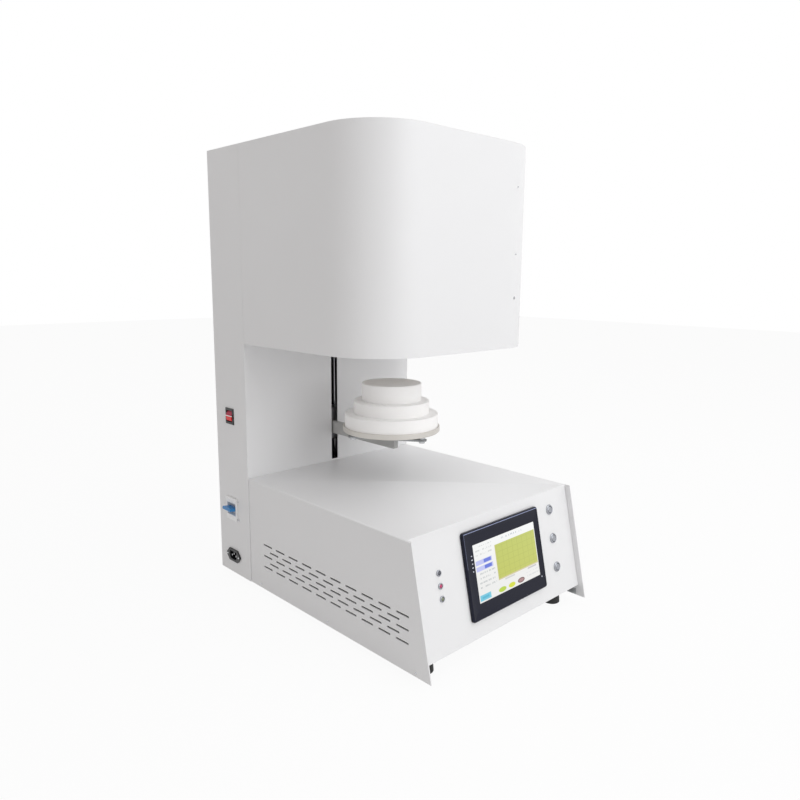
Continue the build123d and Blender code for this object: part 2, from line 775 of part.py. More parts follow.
def hood_wrap():
    """Hood cover: one sheet bent round both front corners, with returns at the column."""
    outer = extrude(Plane.XY.offset(HOOD_Z) * hood_outline(0, -SEAM), amount=HOOD_H)
    inner = Plane.XY.offset(HOOD_Z - SHEET) * hood_outline(SHEET, -SEAM - SHEET)
    wrap = outer - extrude(inner, amount=HOOD_H + 2 * SHEET)
    half = HALF_W - HOOD_RETURN
    wrap -= block(-half, half, -4 * SHEET, SHEET, HOOD_Z - SHEET, TOTAL_H + SHEET)
    return drill(wrap, hood_screw_places())


def hood_bottom_plate():
    """Underside of the hood, with the round mouth for the hearth."""
    plan = hood_outline(SHEET + FIT, -SEAM - SHEET - FIT)
    plate = extrude(Plane.XY.offset(HOOD_Z) * plan, amount=SHEET)
    half = HALF_W - HOOD_RETURN - FIT
    plate += block(-half, half, -HOOD_RETURN, -SEAM, HOOD_Z, PLATE_TOP)
    return plate - upright(0, MOUTH_Y, HOOD_Z - SHEET, PLATE_TOP + SHEET, LOWER_R + STEP_GAP_R)


def furnace_casing():
    """Round steel shell around the lining."""
    shell = upright(0, MOUTH_Y, PLATE_TOP, CASING_TOP, CASING_R)
    return shell - upright(0, MOUTH_Y, PLATE_TOP - OVERCUT, CASING_TOP + OVERCUT, CASING_R - CASING_T)


def leg_places():
    """Centres of the heating elements' legs, two for each element, in order round the circle."""
    spread = math.degrees(math.atan(LEG_SPACING / 2 / ELEMENT_PITCH_R))
    r = math.hypot(ELEMENT_PITCH_R, LEG_SPACING / 2)
    places = []
    for i in range(ELEMENT_COUNT):
        middle = 90.0 + (i + 0.5) * 360.0 / ELEMENT_COUNT
        places.append(polar(r, middle - spread))
        places.append(polar(r, middle + spread))
    return places


def casing_lid():
    """Lid of the furnace casing, drilled for the elements and the thermocouple."""
    lid = upright(0, MOUTH_Y, CASING_TOP, LID_TOP, CASING_R)
    for x, y in leg_places():
        lid -= upright(x, y, CASING_TOP - OVERCUT, LID_TOP + OVERCUT, SHANK_R + LINING_GAP)
    return lid - upright(0, MOUTH_Y, CASING_TOP - OVERCUT, LID_TOP + OVERCUT, THERMO_R + LINING_GAP)


def mouth_ring(z0, z1, tier_r):
    """One fibre ring of the stepped mouth, bored for the tier of the hearth that closes it."""
    ring = upright(0, MOUTH_Y, z0, z1, LINING_R)
    return ring - upright(0, MOUTH_Y, z0 - OVERCUT, z1 + OVERCUT, tier_r + STEP_GAP_R)


def chamber_insulation():
    """Fibre ring around the firing chamber."""
    ring = upright(0, MOUTH_Y, CHAMBER_Z, CHAMBER_TOP, LINING_R)
    return ring - upright(0, MOUTH_Y, CHAMBER_Z - OVERCUT, CHAMBER_TOP + OVERCUT, CHAMBER_R)


def roof_insulation():
    """Thick fibre disc over the chamber, drilled for the elements and the thermocouple."""
    disc = upright(0, MOUTH_Y, CHAMBER_TOP, CASING_TOP, LINING_R)
    for x, y in leg_places():
        disc -= upright(x, y, CHAMBER_TOP - OVERCUT, CASING_TOP + OVERCUT, SHANK_R + LINING_GAP)
    return disc - upright(0, MOUTH_Y, CHAMBER_TOP - OVERCUT, CASING_TOP + OVERCUT, THERMO_R + LINING_GAP)


def heating_elements():
    """Hairpin elements: thick shanks through the roof and a thin hot loop in the chamber."""
    legs = leg_places()
    half = LEG_SPACING / 2
    bend_z = ELEMENT_BOTTOM + ELEMENT_BEND_R
    top_z = SHANK_BOTTOM + HOT_R
    path = Line((-half, 0, top_z), (-half, 0, bend_z))
    path += ThreePointArc((-half, 0, bend_z), (0, 0, ELEMENT_BOTTOM), (half, 0, bend_z))
    path += Line((half, 0, bend_z), (half, 0, top_z))
    start = Plane(origin=(-half, 0, top_z), z_dir=(0, 0, -1))
    hairpin = sweep(start * Circle(HOT_R), path=path)
    for x in (-half, half):
        hairpin += upright(x, 0, SHANK_BOTTOM, SHANK_TOP, SHANK_R)
    elements = []
    for i in range(ELEMENT_COUNT):
        ax, ay = legs[2 * i]
        bx, by = legs[2 * i + 1]
        turn = math.degrees(math.atan2(by - ay, bx - ax))
        elements.append(Pos((ax + bx) / 2, (ay + by) / 2, 0) * Rot(0, 0, turn) * hairpin)
    return elements


def element_holders():
    """Ceramic blocks on the lid that grip both shanks of each element."""
    legs = leg_places()
    holders = []
    for i in range(ELEMENT_COUNT):
        ax, ay = legs[2 * i]
        bx, by = legs[2 * i + 1]
        turn = math.degrees(math.atan2(by - ay, bx - ax))
        holder = Pos(0, 0, LID_TOP + HOLDER_H / 2) * Box(HOLDER_L, HOLDER_W, HOLDER_H)
        for x in (-LEG_SPACING / 2, LEG_SPACING / 2):
            holder -= upright(x, 0, LID_TOP - OVERCUT, LID_TOP + HOLDER_H + OVERCUT, SHANK_R + RUN_GAP)
        holders.append(Pos((ax + bx) / 2, (ay + by) / 2, 0) * Rot(0, 0, turn) * holder)
    return holders


def strap(a, b):
    """A flat bar between two shanks, with a hole round each."""
    (ax, ay), (bx, by) = a, b
    length = math.hypot(bx - ax, by - ay)
    turn = math.degrees(math.atan2(by - ay, bx - ax))
    plan = SlotCenterToCenter(length, STRAP_W)
    bar = extrude(Plane.XY.offset(STRAP_Z) * Pos((ax + bx) / 2, (ay + by) / 2) * Rot(0, 0, turn) * plan,
                  amount=STRAP_T)
    for x, y in (a, b):
        bar -= upright(x, y, STRAP_Z - OVERCUT, STRAP_Z + STRAP_T + OVERCUT, SHANK_R + RUN_GAP)
    return bar


def supply_bar(leg):
    """A flat bar from a shank, through the air window, into the column."""
    x, y = leg
    half = STRAP_W / 2
    bar = block(x - half, x + half, y, SUPPLY_END_Y, STRAP_Z, STRAP_Z + STRAP_T)
    bar += upright(x, y, STRAP_Z, STRAP_Z + STRAP_T, half)
    return bar - upright(x, y, STRAP_Z - OVERCUT, STRAP_Z + STRAP_T + OVERCUT, SHANK_R + RUN_GAP)


def element_straps():
    """Bars that join the elements in series, and the two supply bars."""
    legs = leg_places()
    straps = [strap(legs[2 * i + 1], legs[2 * i + 2]) for i in range(ELEMENT_COUNT - 1)]
    return straps + [supply_bar(legs[0]), supply_bar(legs[-1])]


def thermocouple():
    """Ceramic sheath down into the chamber, with its connection head on the lid."""
    tip = CHAMBER_TOP - THERMO_TIP
    sheath = upright(0, MOUTH_Y, tip, LID_TOP + THERMO_R, THERMO_R)
    head = upright(0, MOUTH_Y, LID_TOP, LID_TOP + THERMO_HEAD_H, THERMO_HEAD_R)
    head = fillet(head.edges().sort_by(Axis.Z)[-1:], THERMO_ROUND)
    return sheath + head


def lift_frame_plate():
    """Steel plate across the column that carries the lift."""
    bottom = MOTOR_PLATE_Z - FRAME_BELOW
    top = UPPER_BLOCK_Z + BLOCK_T + FRAME_ABOVE
    return block(-INNER_X, INNER_X, FRAME_Y, FRAME_Y + FRAME_T, bottom, top)


def lift_blocks():
    """Upper and lower bearing blocks and the motor plate, all on the frame plate."""
    half = BLOCK_W / 2
    blocks = []
    for z in (LOWER_BLOCK_Z, UPPER_BLOCK_Z):
        bearing = block(-half, half, AXIS_Y - BLOCK_FRONT, FRAME_Y, z, z + BLOCK_T)
        for x in (-RAIL_X, RAIL_X):
            bearing -= upright(x, AXIS_Y, z - OVERCUT, z + BLOCK_T + OVERCUT, RAIL_R + BUSH_GAP)
        bearing -= upright(0, AXIS_Y, z - OVERCUT, z + BLOCK_T + OVERCUT, JOURNAL_R + RUN_GAP)
        blocks.append(bearing)
    half = MOTOR_PLATE_W / 2
    top = MOTOR_PLATE_Z + MOTOR_PLATE_T
    plate = block(-half, half, AXIS_Y - MOTOR_W / 2, FRAME_Y, MOTOR_PLATE_Z, top)
    plate -= upright(0, AXIS_Y, MOTOR_PLATE_Z - OVERCUT, top + OVERCUT, MOTOR_SHAFT_R + MOTOR_SHAFT_GAP)
    return blocks + [plate]


def guide_rails():
    """Two hardened guide rods between the blocks."""
    return [
        upright(x, AXIS_Y, LOWER_BLOCK_Z, UPPER_BLOCK_Z + BLOCK_T, RAIL_R) for x in (-RAIL_X, RAIL_X)
    ]


def lead_screw():
    """Lift screw with a turned journal at each end."""
    bottom = COUPLING_Z + COUPLING_L / 2 + JOURNAL_LIFT
    thread_bottom = LOWER_BLOCK_Z + BLOCK_T + JOURNAL_LIFT
    thread_top = UPPER_BLOCK_Z - JOURNAL_LIFT
    core = upright(0, AXIS_Y, bottom, UPPER_BLOCK_Z + BLOCK_T, JOURNAL_R)
    return core + upright(0, AXIS_Y, thread_bottom, thread_top, SCREW_R)


def motor_coupling():
    """The motor's shaft, and the coupling that joins it to the screw."""
    middle = COUPLING_Z + COUPLING_L / 2
    shaft = upright(0, AXIS_Y, MOTOR_PLATE_Z - SHAFT_IN_MOTOR, middle - JOURNAL_LIFT, MOTOR_SHAFT_R)
    sleeve = upright(0, AXIS_Y, COUPLING_Z, COUPLING_Z + COUPLING_L, COUPLING_R)
    sleeve -= upright(0, AXIS_Y, COUPLING_Z - OVERCUT, middle, MOTOR_SHAFT_R + BUSH_GAP)
    sleeve -= upright(0, AXIS_Y, middle, COUPLING_Z + COUPLING_L + OVERCUT, JOURNAL_R + BUSH_GAP)
    return [shaft, sleeve]


def lift_motor():
    """Square stepper motor under its plate."""
    half = MOTOR_W / 2
    bottom = MOTOR_PLATE_Z - MOTOR_H
    body = block(-half, half, AXIS_Y - half, AXIS_Y + half, bottom, MOTOR_PLATE_Z)
    body = chamfer(body.edges().filter_by(Axis.Z), MOTOR_CHAMFER)
    bore_bottom = MOTOR_PLATE_Z - SHAFT_IN_MOTOR - OVERCUT
    bore_r = MOTOR_SHAFT_R + RUN_GAP
    return body - upright(0, AXIS_Y, bore_bottom, MOTOR_PLATE_Z + OVERCUT, bore_r)


def lift_carriage():
    """Block that rides on both rods and carries the arm."""
    half = CARRIAGE_W / 2
    back = CARRIAGE_FRONT_Y + CARRIAGE_D
    top = CARRIAGE_Z + CARRIAGE_H
    body = block(-half, half, CARRIAGE_FRONT_Y, back, CARRIAGE_Z, top)
    for x in (-RAIL_X, RAIL_X):
        body -= upright(x, AXIS_Y, CARRIAGE_Z - OVERCUT, top + OVERCUT, BEARING_R + BUSH_GAP)
    return body - upright(0, AXIS_Y, CARRIAGE_Z - OVERCUT, top + OVERCUT, NUT_BODY_R + BUSH_GAP)


def linear_bearings():
    """Two long bushes in the carriage, round the guide rods."""
    top = CARRIAGE_Z + CARRIAGE_H
    return [
        upright(x, AXIS_Y, CARRIAGE_Z, top, BEARING_R)
        - upright(x, AXIS_Y, CARRIAGE_Z - OVERCUT, top + OVERCUT, RAIL_R + RUN_GAP)
        for x in (-RAIL_X, RAIL_X)
    ]


def lift_nut():
    """Flanged nut under the carriage, on the screw."""
    nut = upright(0, AXIS_Y, CARRIAGE_Z, CARRIAGE_Z + NUT_BODY_L, NUT_BODY_R)
    nut += upright(0, AXIS_Y, CARRIAGE_Z - NUT_FLANGE_T, CARRIAGE_Z, NUT_FLANGE_R)
    bottom = CARRIAGE_Z - NUT_FLANGE_T - OVERCUT
    return nut - upright(0, AXIS_Y, bottom, CARRIAGE_Z + NUT_BODY_L + OVERCUT, SCREW_R + RUN_GAP)


def lift_arm():
    """Flat arm on edge, from the carriage through the slot to under the tray."""
    front = MOUTH_Y - ARM_PAST_CENTRE
    arm = block(-ARM_T / 2, ARM_T / 2, front, CARRIAGE_FRONT_Y, ARM_Z, ARM_TOP)
    lower_front = arm.edges().filter_by(Axis.X).sort_by(Axis.Y)[:2].sort_by(Axis.Z)[:1]
    return fillet(lower_front, ARM_NOSE_R)


def arm_bracket():
    """Three-cornered plate on the arm, drilled for the tray's studs."""
    tip = STUD_PITCH_R + 2 * BRACKET_CORNER
    points = [polar(tip, a) for a in STUD_ANGLES]
    plan = make_face(Polyline(*points, close=True))
    plan = fillet(plan.vertices(), BRACKET_CORNER)
    plate = extrude(Plane.XY.offset(ARM_TOP) * plan, amount=BRACKET_T)
    for angle in STUD_ANGLES:
        x, y = polar(STUD_PITCH_R, angle)
        plate -= upright(x, y, ARM_TOP - OVERCUT, ARM_TOP + BRACKET_T + OVERCUT, STUD_R + STUD_HOLE_GAP)
    return plate


def tray_studs():
    """Three bolts up through the bracket into the tray, each with a spacer nut."""
    pieces = []
    hole = STUD_R + STUD_HOLE_GAP
    for angle in STUD_ANGLES:
        x, y = polar(STUD_PITCH_R, angle)
        bolt = hexagon(x, y, ARM_TOP - NUT_H, ARM_TOP, NUT_AF)
        bolt += upright(x, y, ARM_TOP, HEARTH_BOTTOM - FIT, STUD_R)
        spacer = hexagon(x, y, ARM_TOP + BRACKET_T, TRAY_Z, NUT_AF)
        spacer -= upright(x, y, ARM_TOP, TRAY_Z + OVERCUT, hole)
        pieces += [bolt, spacer]
    return pieces


def hearth_tray():
    """Shallow round metal pan that holds the hearth."""
    pan = upright(0, MOUTH_Y, TRAY_Z, TRAY_Z + TRAY_H, TRAY_R)
    pan -= upright(0, MOUTH_Y, HEARTH_BOTTOM, TRAY_Z + TRAY_H + OVERCUT, TRAY_R - TRAY_WALL)
    for angle in STUD_ANGLES:
        x, y = polar(STUD_PITCH_R, angle)
        pan -= upright(x, y, TRAY_Z - OVERCUT, HEARTH_BOTTOM + OVERCUT, STUD_R + STUD_HOLE_GAP)
    return pan


def hearth_tier(r, z0, z1):
    """One fibre disc of the hearth, with a softened top edge."""
    disc = upright(0, MOUTH_Y, z0, z1, r)
    return fillet(disc.edges().sort_by(Axis.Z)[-1:], HEARTH_EDGE)


def transformer_core():
    """Laminated core with two windows, standing on the floor."""
    top = FLOOR_TOP + CORE_H
    core = block(CORE_X - CORE_W / 2, CORE_X + CORE_W / 2, CORE_Y - CORE_D / 2, CORE_Y + CORE_D / 2,
                 FLOOR_TOP, top)
    for side in (-1, 1):
        x0, x1 = sorted((CORE_X + side * CORE_LEG, CORE_X + side * (CORE_LEG + CORE_WINDOW_W)))
        core -= block(x0, x1, CORE_Y - CORE_D, CORE_Y + CORE_D, FLOOR_TOP + CORE_LEG, top - CORE_LEG)
    return core


def transformer_windings():
    """Coil round the core's middle leg."""
    half_x = CORE_LEG + CORE_WINDOW_W - COIL_GAP
    half_y = CORE_D / 2 + COIL_OVERHANG
    z0 = FLOOR_TOP + CORE_LEG + COIL_GAP
    z1 = FLOOR_TOP + CORE_H - CORE_LEG - COIL_GAP
    coil = block(CORE_X - half_x, CORE_X + half_x, CORE_Y - half_y, CORE_Y + half_y, z0, z1)
    coil = fillet(coil.edges().filter_by(Axis.Z), COIL_OVERHANG / 2)
    leg_x = CORE_LEG + COIL_GAP
    leg_y = CORE_D / 2 + COIL_GAP
    return coil - block(CORE_X - leg_x, CORE_X + leg_x, CORE_Y - leg_y, CORE_Y + leg_y,
                        z0 - OVERCUT, z1 + OVERCUT)


def power_controller():
    """Power module on a finned heat sink."""
    z = FLOOR_TOP + SINK_H
    x0, x1 = SINK_X - SINK_W / 2, SINK_X + SINK_W / 2
    y0, y1 = SINK_Y - SINK_D / 2, SINK_Y + SINK_D / 2
    sink = block(x0, x1, y0, y1, z - SINK_BASE_T, z)
    step = (SINK_W - SINK_FIN_T) / (SINK_FINS - 1)
    for i in range(SINK_FINS):
        x = x0 + i * step
        sink += block(x, x + SINK_FIN_T, y0, y1, FLOOR_TOP, z - SINK_BASE_T)
    module = Pos(SINK_X, SINK_Y, z + MODULE_H / 2) * Box(MODULE_W, MODULE_D, MODULE_H)
    return [sink, chamfer(module.edges().group_by(Axis.Z)[-1], MODULE_CHAMFER)]


def control_board():
    """Circuit board on four standoffs, with its larger components."""
    z = FLOOR_TOP + STANDOFF_H
    board = Pos(BOARD_X, BOARD_Y, z + BOARD_T / 2) * Box(BOARD_W, BOARD_D, BOARD_T)
    pieces = []
    for sx in (-1, 1):
        for sy in (-1, 1):
            x = BOARD_X + sx * (BOARD_W / 2 - STANDOFF_INSET)
            y = BOARD_Y + sy * (BOARD_D / 2 - STANDOFF_INSET)
            pieces.append(upright(x, y, FLOOR_TOP, z, STANDOFF_R))
    top = z + BOARD_T
    for dx, dy, w, d, h in BOARD_PARTS:
        board += Pos(BOARD_X + dx, BOARD_Y + dy, top + h / 2) * Box(w, d, h)
    return [board] + pieces


def fan_frame():
    """Square fan frame with a round duct and a hub on four struts."""
    half = FAN_W / 2
    y1 = COLUMN_D - SHEET
    y0 = y1 - FAN_D
    frame = block(-half, half, y0, y1, FAN_Z - half, FAN_Z + half)
    frame = fillet(frame.edges().filter_by(Axis.Y), FAN_CORNER_R)
    frame -= along_y(0, y0 - OVERCUT, y1 + OVERCUT, FAN_Z, FAN_BORE_R)
    frame += along_y(0, y0, y0 + FAN_HUB_T, FAN_Z, FAN_BOSS_R)
    reach = FAN_BORE_R + FAN_STRUT_BITE
    bar = FAN_STRUT_W / 2
    frame += block(-reach, reach, y0, y0 + FAN_HUB_T, FAN_Z - bar, FAN_Z + bar)
    frame += block(-bar, bar, y0, y0 + FAN_HUB_T, FAN_Z - reach, FAN_Z + reach)
    frame += along_y(0, y0, y0 + FAN_HUB_T + ROTOR_D - FAN_PIN_SHORT, FAN_Z, FAN_PIN_R)
    return drill(frame, fan_screw_places())


def fan_rotor():
    """Fan wheel with pitched blades, turning on the frame's pin."""
    y0 = COLUMN_D - SHEET - FAN_D + FAN_HUB_T + ROTOR_LIFT
    y1 = y0 + ROTOR_D
    middle = (y0 + y1) / 2
    rotor = along_y(0, y0, y1, FAN_Z, ROTOR_HUB_R)
    span = ROTOR_R - ROTOR_HUB_R + BLADE_ROOT
    reach = ROTOR_HUB_R - BLADE_ROOT + span / 2
    for i in range(BLADE_COUNT):
        blade = Rot(BLADE_PITCH, 0, 0) * Box(span, BLADE_CHORD, BLADE_T)
        turn = Rot(0, i * 360.0 / BLADE_COUNT, 0)
        rotor += Pos(0, middle, FAN_Z) * turn * Pos(reach, 0, 0) * blade
    rotor &= along_y(0, y0, y1, FAN_Z, ROTOR_R)
    bore_top = y1 - ROTOR_LIFT - FAN_PIN_SHORT + ROTOR_BORE_SPARE
    return rotor - along_y(0, y0 - OVERCUT, bore_top, FAN_Z, FAN_PIN_R + RUN_GAP)


def fan_guard():
    """Ring guard on the rear cover, with four ears."""
    y0 = COLUMN_D
    y1 = COLUMN_D + GUARD_T
    guard = None
    for r in GUARD_RINGS:
        ring = along_y(0, y0, y1, FAN_Z, r + GUARD_WIRE / 2)
        ring -= along_y(0, y0 - OVERCUT, y1 + OVERCUT, FAN_Z, r - GUARD_WIRE / 2)
        guard = ring if guard is None else guard + ring
    reach = math.hypot(FAN_HOLE_OFFSET, FAN_HOLE_OFFSET)
    for turn in (45, 135):
        bar = Box(2 * reach, GUARD_T, 2 * GUARD_WIRE)
        guard += Pos(0, (y0 + y1) / 2, FAN_Z) * Rot(0, turn, 0) * bar
    for place in fan_screw_places():
        spot = place.position
        guard += along_y(spot.X, y0, y1, spot.Z, GUARD_EAR_R)
    return drill(guard, fan_screw_places())


def switch_bezel():
    """Rocker switch housing with its rim on the column's side."""
    x = -HALF_W
    rim = Pos(x - SWITCH_PROUD / 2, SWITCH_Y, SWITCH_Z) * Box(SWITCH_PROUD, SWITCH_W, SWITCH_H)
    rim = chamfer(rim.faces().sort_by(Axis.X)[0].edges(), SWITCH_PROUD / 3)
    middle = Pos(x + SWITCH_BODY_D / 2, SWITCH_Y, SWITCH_Z)
    body = middle * Box(SWITCH_BODY_D, SWITCH_BODY_W, SWITCH_BODY_H)
    pocket = block(x - SWITCH_PROUD - OVERCUT, x + SWITCH_POCKET_D, SWITCH_Y - SWITCH_POCKET_W / 2,
                   SWITCH_Y + SWITCH_POCKET_W / 2, SWITCH_Z - SWITCH_POCKET_H / 2,
                   SWITCH_Z + SWITCH_POCKET_H / 2)
    housing = rim + body - pocket
    half = SWITCH_POCKET_W / 2 + ROCKER_PIN_L
    return housing - along_y(x + ROCKER_PIVOT_IN, SWITCH_Y - half, SWITCH_Y + half, SWITCH_Z,
                             ROCKER_PIN_R + RUN_GAP)


def switch_rocker():
    """Rocker with a ridge across its middle, tipped with its top pressed in."""
    outline = [
        (-ROCKER_RIDGE, 0),
        (-ROCKER_END, ROCKER_HALF_H),
        (ROCKER_BACK, ROCKER_BACK_HALF_H),
        (ROCKER_BACK, -ROCKER_BACK_HALF_H),
        (-ROCKER_END, -ROCKER_HALF_H),
    ]
    width = SWITCH_POCKET_W - 2 * MOVING_GAP
    plan = Plane(origin=(0, 0, 0), x_dir=(1, 0, 0), z_dir=(0, -1, 0)) * make_face(
        Polyline(*outline, close=True)
    )
    body = extrude(plan, amount=width / 2, both=True)
    pin = SWITCH_POCKET_W / 2 + ROCKER_PIN_L - MOVING_GAP
    body += along_y(0, -pin, pin, 0, ROCKER_PIN_R)
    at = Pos(-HALF_W + ROCKER_PIVOT_IN, SWITCH_Y, SWITCH_Z)
    return at * Rot(0, ROCKER_TILT, 0) * body


def breaker_body():
    """Two-pole circuit breaker: its nose fills the window in the column's side."""
    x = -HALF_W
    half_w = BREAKER_W / 2
    half_n = BREAKER_NOSE_H / 2
    y0, y1 = BREAKER_Y - half_w, BREAKER_Y + half_w
    nose_x = x - BREAKER_NOSE_PROUD
    body = block(x + SIDE_T + FIT, x + SIDE_T + BREAKER_BODY_D, y0, y1,
                 BREAKER_Z - BREAKER_BODY_H / 2, BREAKER_Z + BREAKER_BODY_H / 2)
    body += block(nose_x, x + SIDE_T + FIT, y0, y1, BREAKER_Z - half_n, BREAKER_Z + half_n)
    lip_z = BREAKER_Z + half_n
    body += block(nose_x - BREAKER_LIP_PROUD, nose_x, y0, y1, lip_z - BREAKER_LIP_H, lip_z)
    pocket_w = TOGGLE_POCKET_W / 2
    pocket_h = TOGGLE_POCKET_H / 2
    body -= block(nose_x - OVERCUT, nose_x + TOGGLE_POCKET_D, BREAKER_Y - pocket_w, BREAKER_Y + pocket_w,
                  BREAKER_Z - pocket_h, BREAKER_Z + pocket_h)
    pin = pocket_w + TOGGLE_PIN_IN
    return body - along_y(x + TOGGLE_PIVOT_IN, BREAKER_Y - pin, BREAKER_Y + pin, BREAKER_Z,
                          TOGGLE_PIN_R + RUN_GAP)


def breaker_toggle():
    """Linked handle of both poles, pointing out and a little up."""
    width = TOGGLE_W
    reach = TOGGLE_REACH + TOGGLE_PIVOT_IN
    lever = Pos(-reach / 2, 0, 0) * Box(reach, width, TOGGLE_T)
    ends = lever.faces().sort_by(Axis.X)[0].edges()
    lever = fillet(ends.filter_by(Axis.Y), TOGGLE_ROUND)
    hub = along_y(0, -width / 2, width / 2, 0, TOGGLE_HUB_R)
    pin = TOGGLE_POCKET_W / 2 + TOGGLE_PIN_IN - MOVING_GAP
    toggle = lever + hub + along_y(0, -pin, pin, 0, TOGGLE_PIN_R)
    at = Pos(-HALF_W + TOGGLE_PIVOT_IN, BREAKER_Y, BREAKER_Z)
    return at * Rot(0, TOGGLE_UP, 0) * toggle


def inlet_body():
    """Appliance inlet with an eared flange and a deep socket."""
    plane = Plane(origin=(-HALF_W, INLET_Y, INLET_Z), x_dir=(0, -1, 0), z_dir=(-1, 0, 0))
    points = [
        (INLET_HALF_L, 0),
        (INLET_HALF_FLAT, INLET_HALF_H),
        (-INLET_HALF_FLAT, INLET_HALF_H),
        (-INLET_HALF_L, 0),
        (-INLET_HALF_FLAT, -INLET_HALF_H),
        (INLET_HALF_FLAT, -INLET_HALF_H),
    ]
    outline = make_face(Polyline(*points, close=True))
    ears = outline.vertices().sort_by(Axis.X)
    outline = fillet(ears[:1] + ears[-1:], INLET_EAR_R)
    body = extrude(plane * outline, amount=INLET_FLANGE_T)
    middle = Pos(-HALF_W + INLET_BODY_D / 2, INLET_Y, INLET_Z)
    body += middle * Box(INLET_BODY_D, INLET_BODY_W, INLET_BODY_H)
    socket = Rectangle(SOCKET_W, SOCKET_H)
    lower = socket.vertices().sort_by(Axis.Y)[:2]
    socket = chamfer(lower, SOCKET_CORNER)
    out = INLET_FLANGE_T + OVERCUT
    body -= extrude(plane.offset(out) * socket, amount=-(SOCKET_D + OVERCUT))
    body = drill(body, inlet_screw_places())
    for y, z in pin_places():
        at = Pos(-HALF_W, INLET_Y + y, INLET_Z + z)
        body -= at * Box(4 * SOCKET_D, PIN_T + BUSH_GAP, PIN_W + BUSH_GAP) & socket_floor(y, z)
    return body


def pin_places():
    """Where the three blades stand, across and up from the inlet's middle."""
    return ((0.0, PIN_RISE), (-PIN_PITCH, -PIN_DROP), (PIN_PITCH, -PIN_DROP))


def socket_floor(y, z):
    """The stretch of the inlet's floor that a blade is set in."""
    floor_x = -HALF_W - INLET_FLANGE_T + SOCKET_D
    at_y = INLET_Y + y
    at_z = INLET_Z + z
    return block(floor_x - OVERCUT, floor_x + PIN_ROOT, at_y - PIN_W, at_y + PIN_W,
                 at_z - PIN_W, at_z + PIN_W)


def inlet_pins():
    """Three flat blades in the socket."""
    floor_x = -HALF_W - INLET_FLANGE_T + SOCKET_D
    pins = []
    for y, z in pin_places():
        blade = Box(PIN_L + PIN_ROOT, PIN_T, PIN_W)
        middle_x = floor_x + PIN_ROOT - (PIN_L + PIN_ROOT) / 2
        pins.append(Pos(middle_x, INLET_Y + y, INLET_Z + z) * blade)
    return pins


def case_screws():
    """All the small pan-head screws."""
    places = side_screw_places(-1) + side_screw_places(1) + rear_screw_places()
    places += fan_screw_places() + breaker_screw_places() + inlet_screw_places()
    places += hood_screw_places()
    return [screw(place) for place in places]


PARTS = {
    "floor_plate": floor_plate(),
    "rubber_feet": rubber_feet(),
    "base_shell": base_shell(),
    "front_panel": front_panel(),
    "screen_housing": screen_housing(),
    "screen_glass": screen_glass(),
    "indicator_bezels": indicator_bezels(),
    "indicator_lenses": indicator_lenses(),
    "button_bodies": button_bodies(),
    "button_cap_top": button_cap(0),
    "button_cap_middle": button_cap(1),
    "button_cap_bottom": button_cap(2),
    "column_left_side": column_side(-1),
    "column_right_side": column_side(1),
    "column_front_panel": column_front_panel(),
    "column_rear_cover": column_rear_cover(),
    "top_cover": top_cover(),
    "hood_wrap": hood_wrap(),
    "hood_bottom_plate": hood_bottom_plate(),
    "furnace_casing": furnace_casing(),
    "casing_lid": casing_lid(),
    "mouth_ring_lower": mouth_ring(PLATE_TOP, LEDGE_LOWER, LOWER_R),
    "mouth_ring_middle": mouth_ring(LEDGE_LOWER, LEDGE_MIDDLE, MIDDLE_R),
    "mouth_ring_upper": mouth_ring(LEDGE_MIDDLE, CHAMBER_Z, UPPER_R),
    "chamber_insulation": chamber_insulation(),
    "roof_insulation": roof_insulation(),
    "heating_elements": heating_elements(),
    "element_holders": element_holders(),
    "element_straps": element_straps(),
    "thermocouple": thermocouple(),
    "lift_frame_plate": lift_frame_plate(),
    "lift_blocks": lift_blocks(),
    "guide_rails": guide_rails(),
    "lead_screw": lead_screw(),
    "motor_coupling": motor_coupling(),
    "lift_motor": lift_motor(),
    "lift_carriage": lift_carriage(),
    "linear_bearings": linear_bearings(),
    "lift_nut": lift_nut(),
    "lift_arm": lift_arm(),
    "arm_bracket": arm_bracket(),
    "tray_studs": tray_studs(),
    "hearth_tray": hearth_tray(),
    "hearth_lower": hearth_tier(LOWER_R, HEARTH_BOTTOM, LOWER_TOP),
    "hearth_middle": hearth_tier(MIDDLE_R, LOWER_TOP, MIDDLE_TOP),
    "hearth_upper": hearth_tier(UPPER_R, MIDDLE_TOP, UPPER_TOP),
    "transformer_core": transformer_core(),
    "transformer_windings": transformer_windings(),
    "power_controller": power_controller(),
    "control_board": control_board(),
    "fan_frame": fan_frame(),
    "fan_rotor": fan_rotor(),
    "fan_guard": fan_guard(),
    "switch_bezel": switch_bezel(),
    "switch_rocker": switch_rocker(),
    "breaker_body": breaker_body(),
    "breaker_toggle": breaker_toggle(),
    "inlet_body": inlet_body(),
    "inlet_pins": inlet_pins(),
    "case_screws": case_screws(),
}


def as_one(shape):
    """A node as a single shape, also where it is a group of separate solids."""
    if isinstance(shape, list):
        return Compound(children=[solid for piece in shape for solid in piece.solids()])
    return shape


shapes = {name: as_one(shape) for name, shape in PARTS.items()}
boxes = [shape.bounding_box() for shape in shapes.values()]
MIDDLE_X = (min(b.min.X for b in boxes) + max(b.max.X for b in boxes)) / 2
MIDDLE_Y = (min(b.min.Y for b in boxes) + max(b.max.Y for b in boxes)) / 2
for name, shape in shapes.items():
    export_step(Pos(-MIDDLE_X, -MIDDLE_Y, 0) * shape, f"parts/{name}.step")
print(f"{len(shapes)} nodes, origin at x {MIDDLE_X:.3f}, y {MIDDLE_Y:.3f} of the drawing frame")
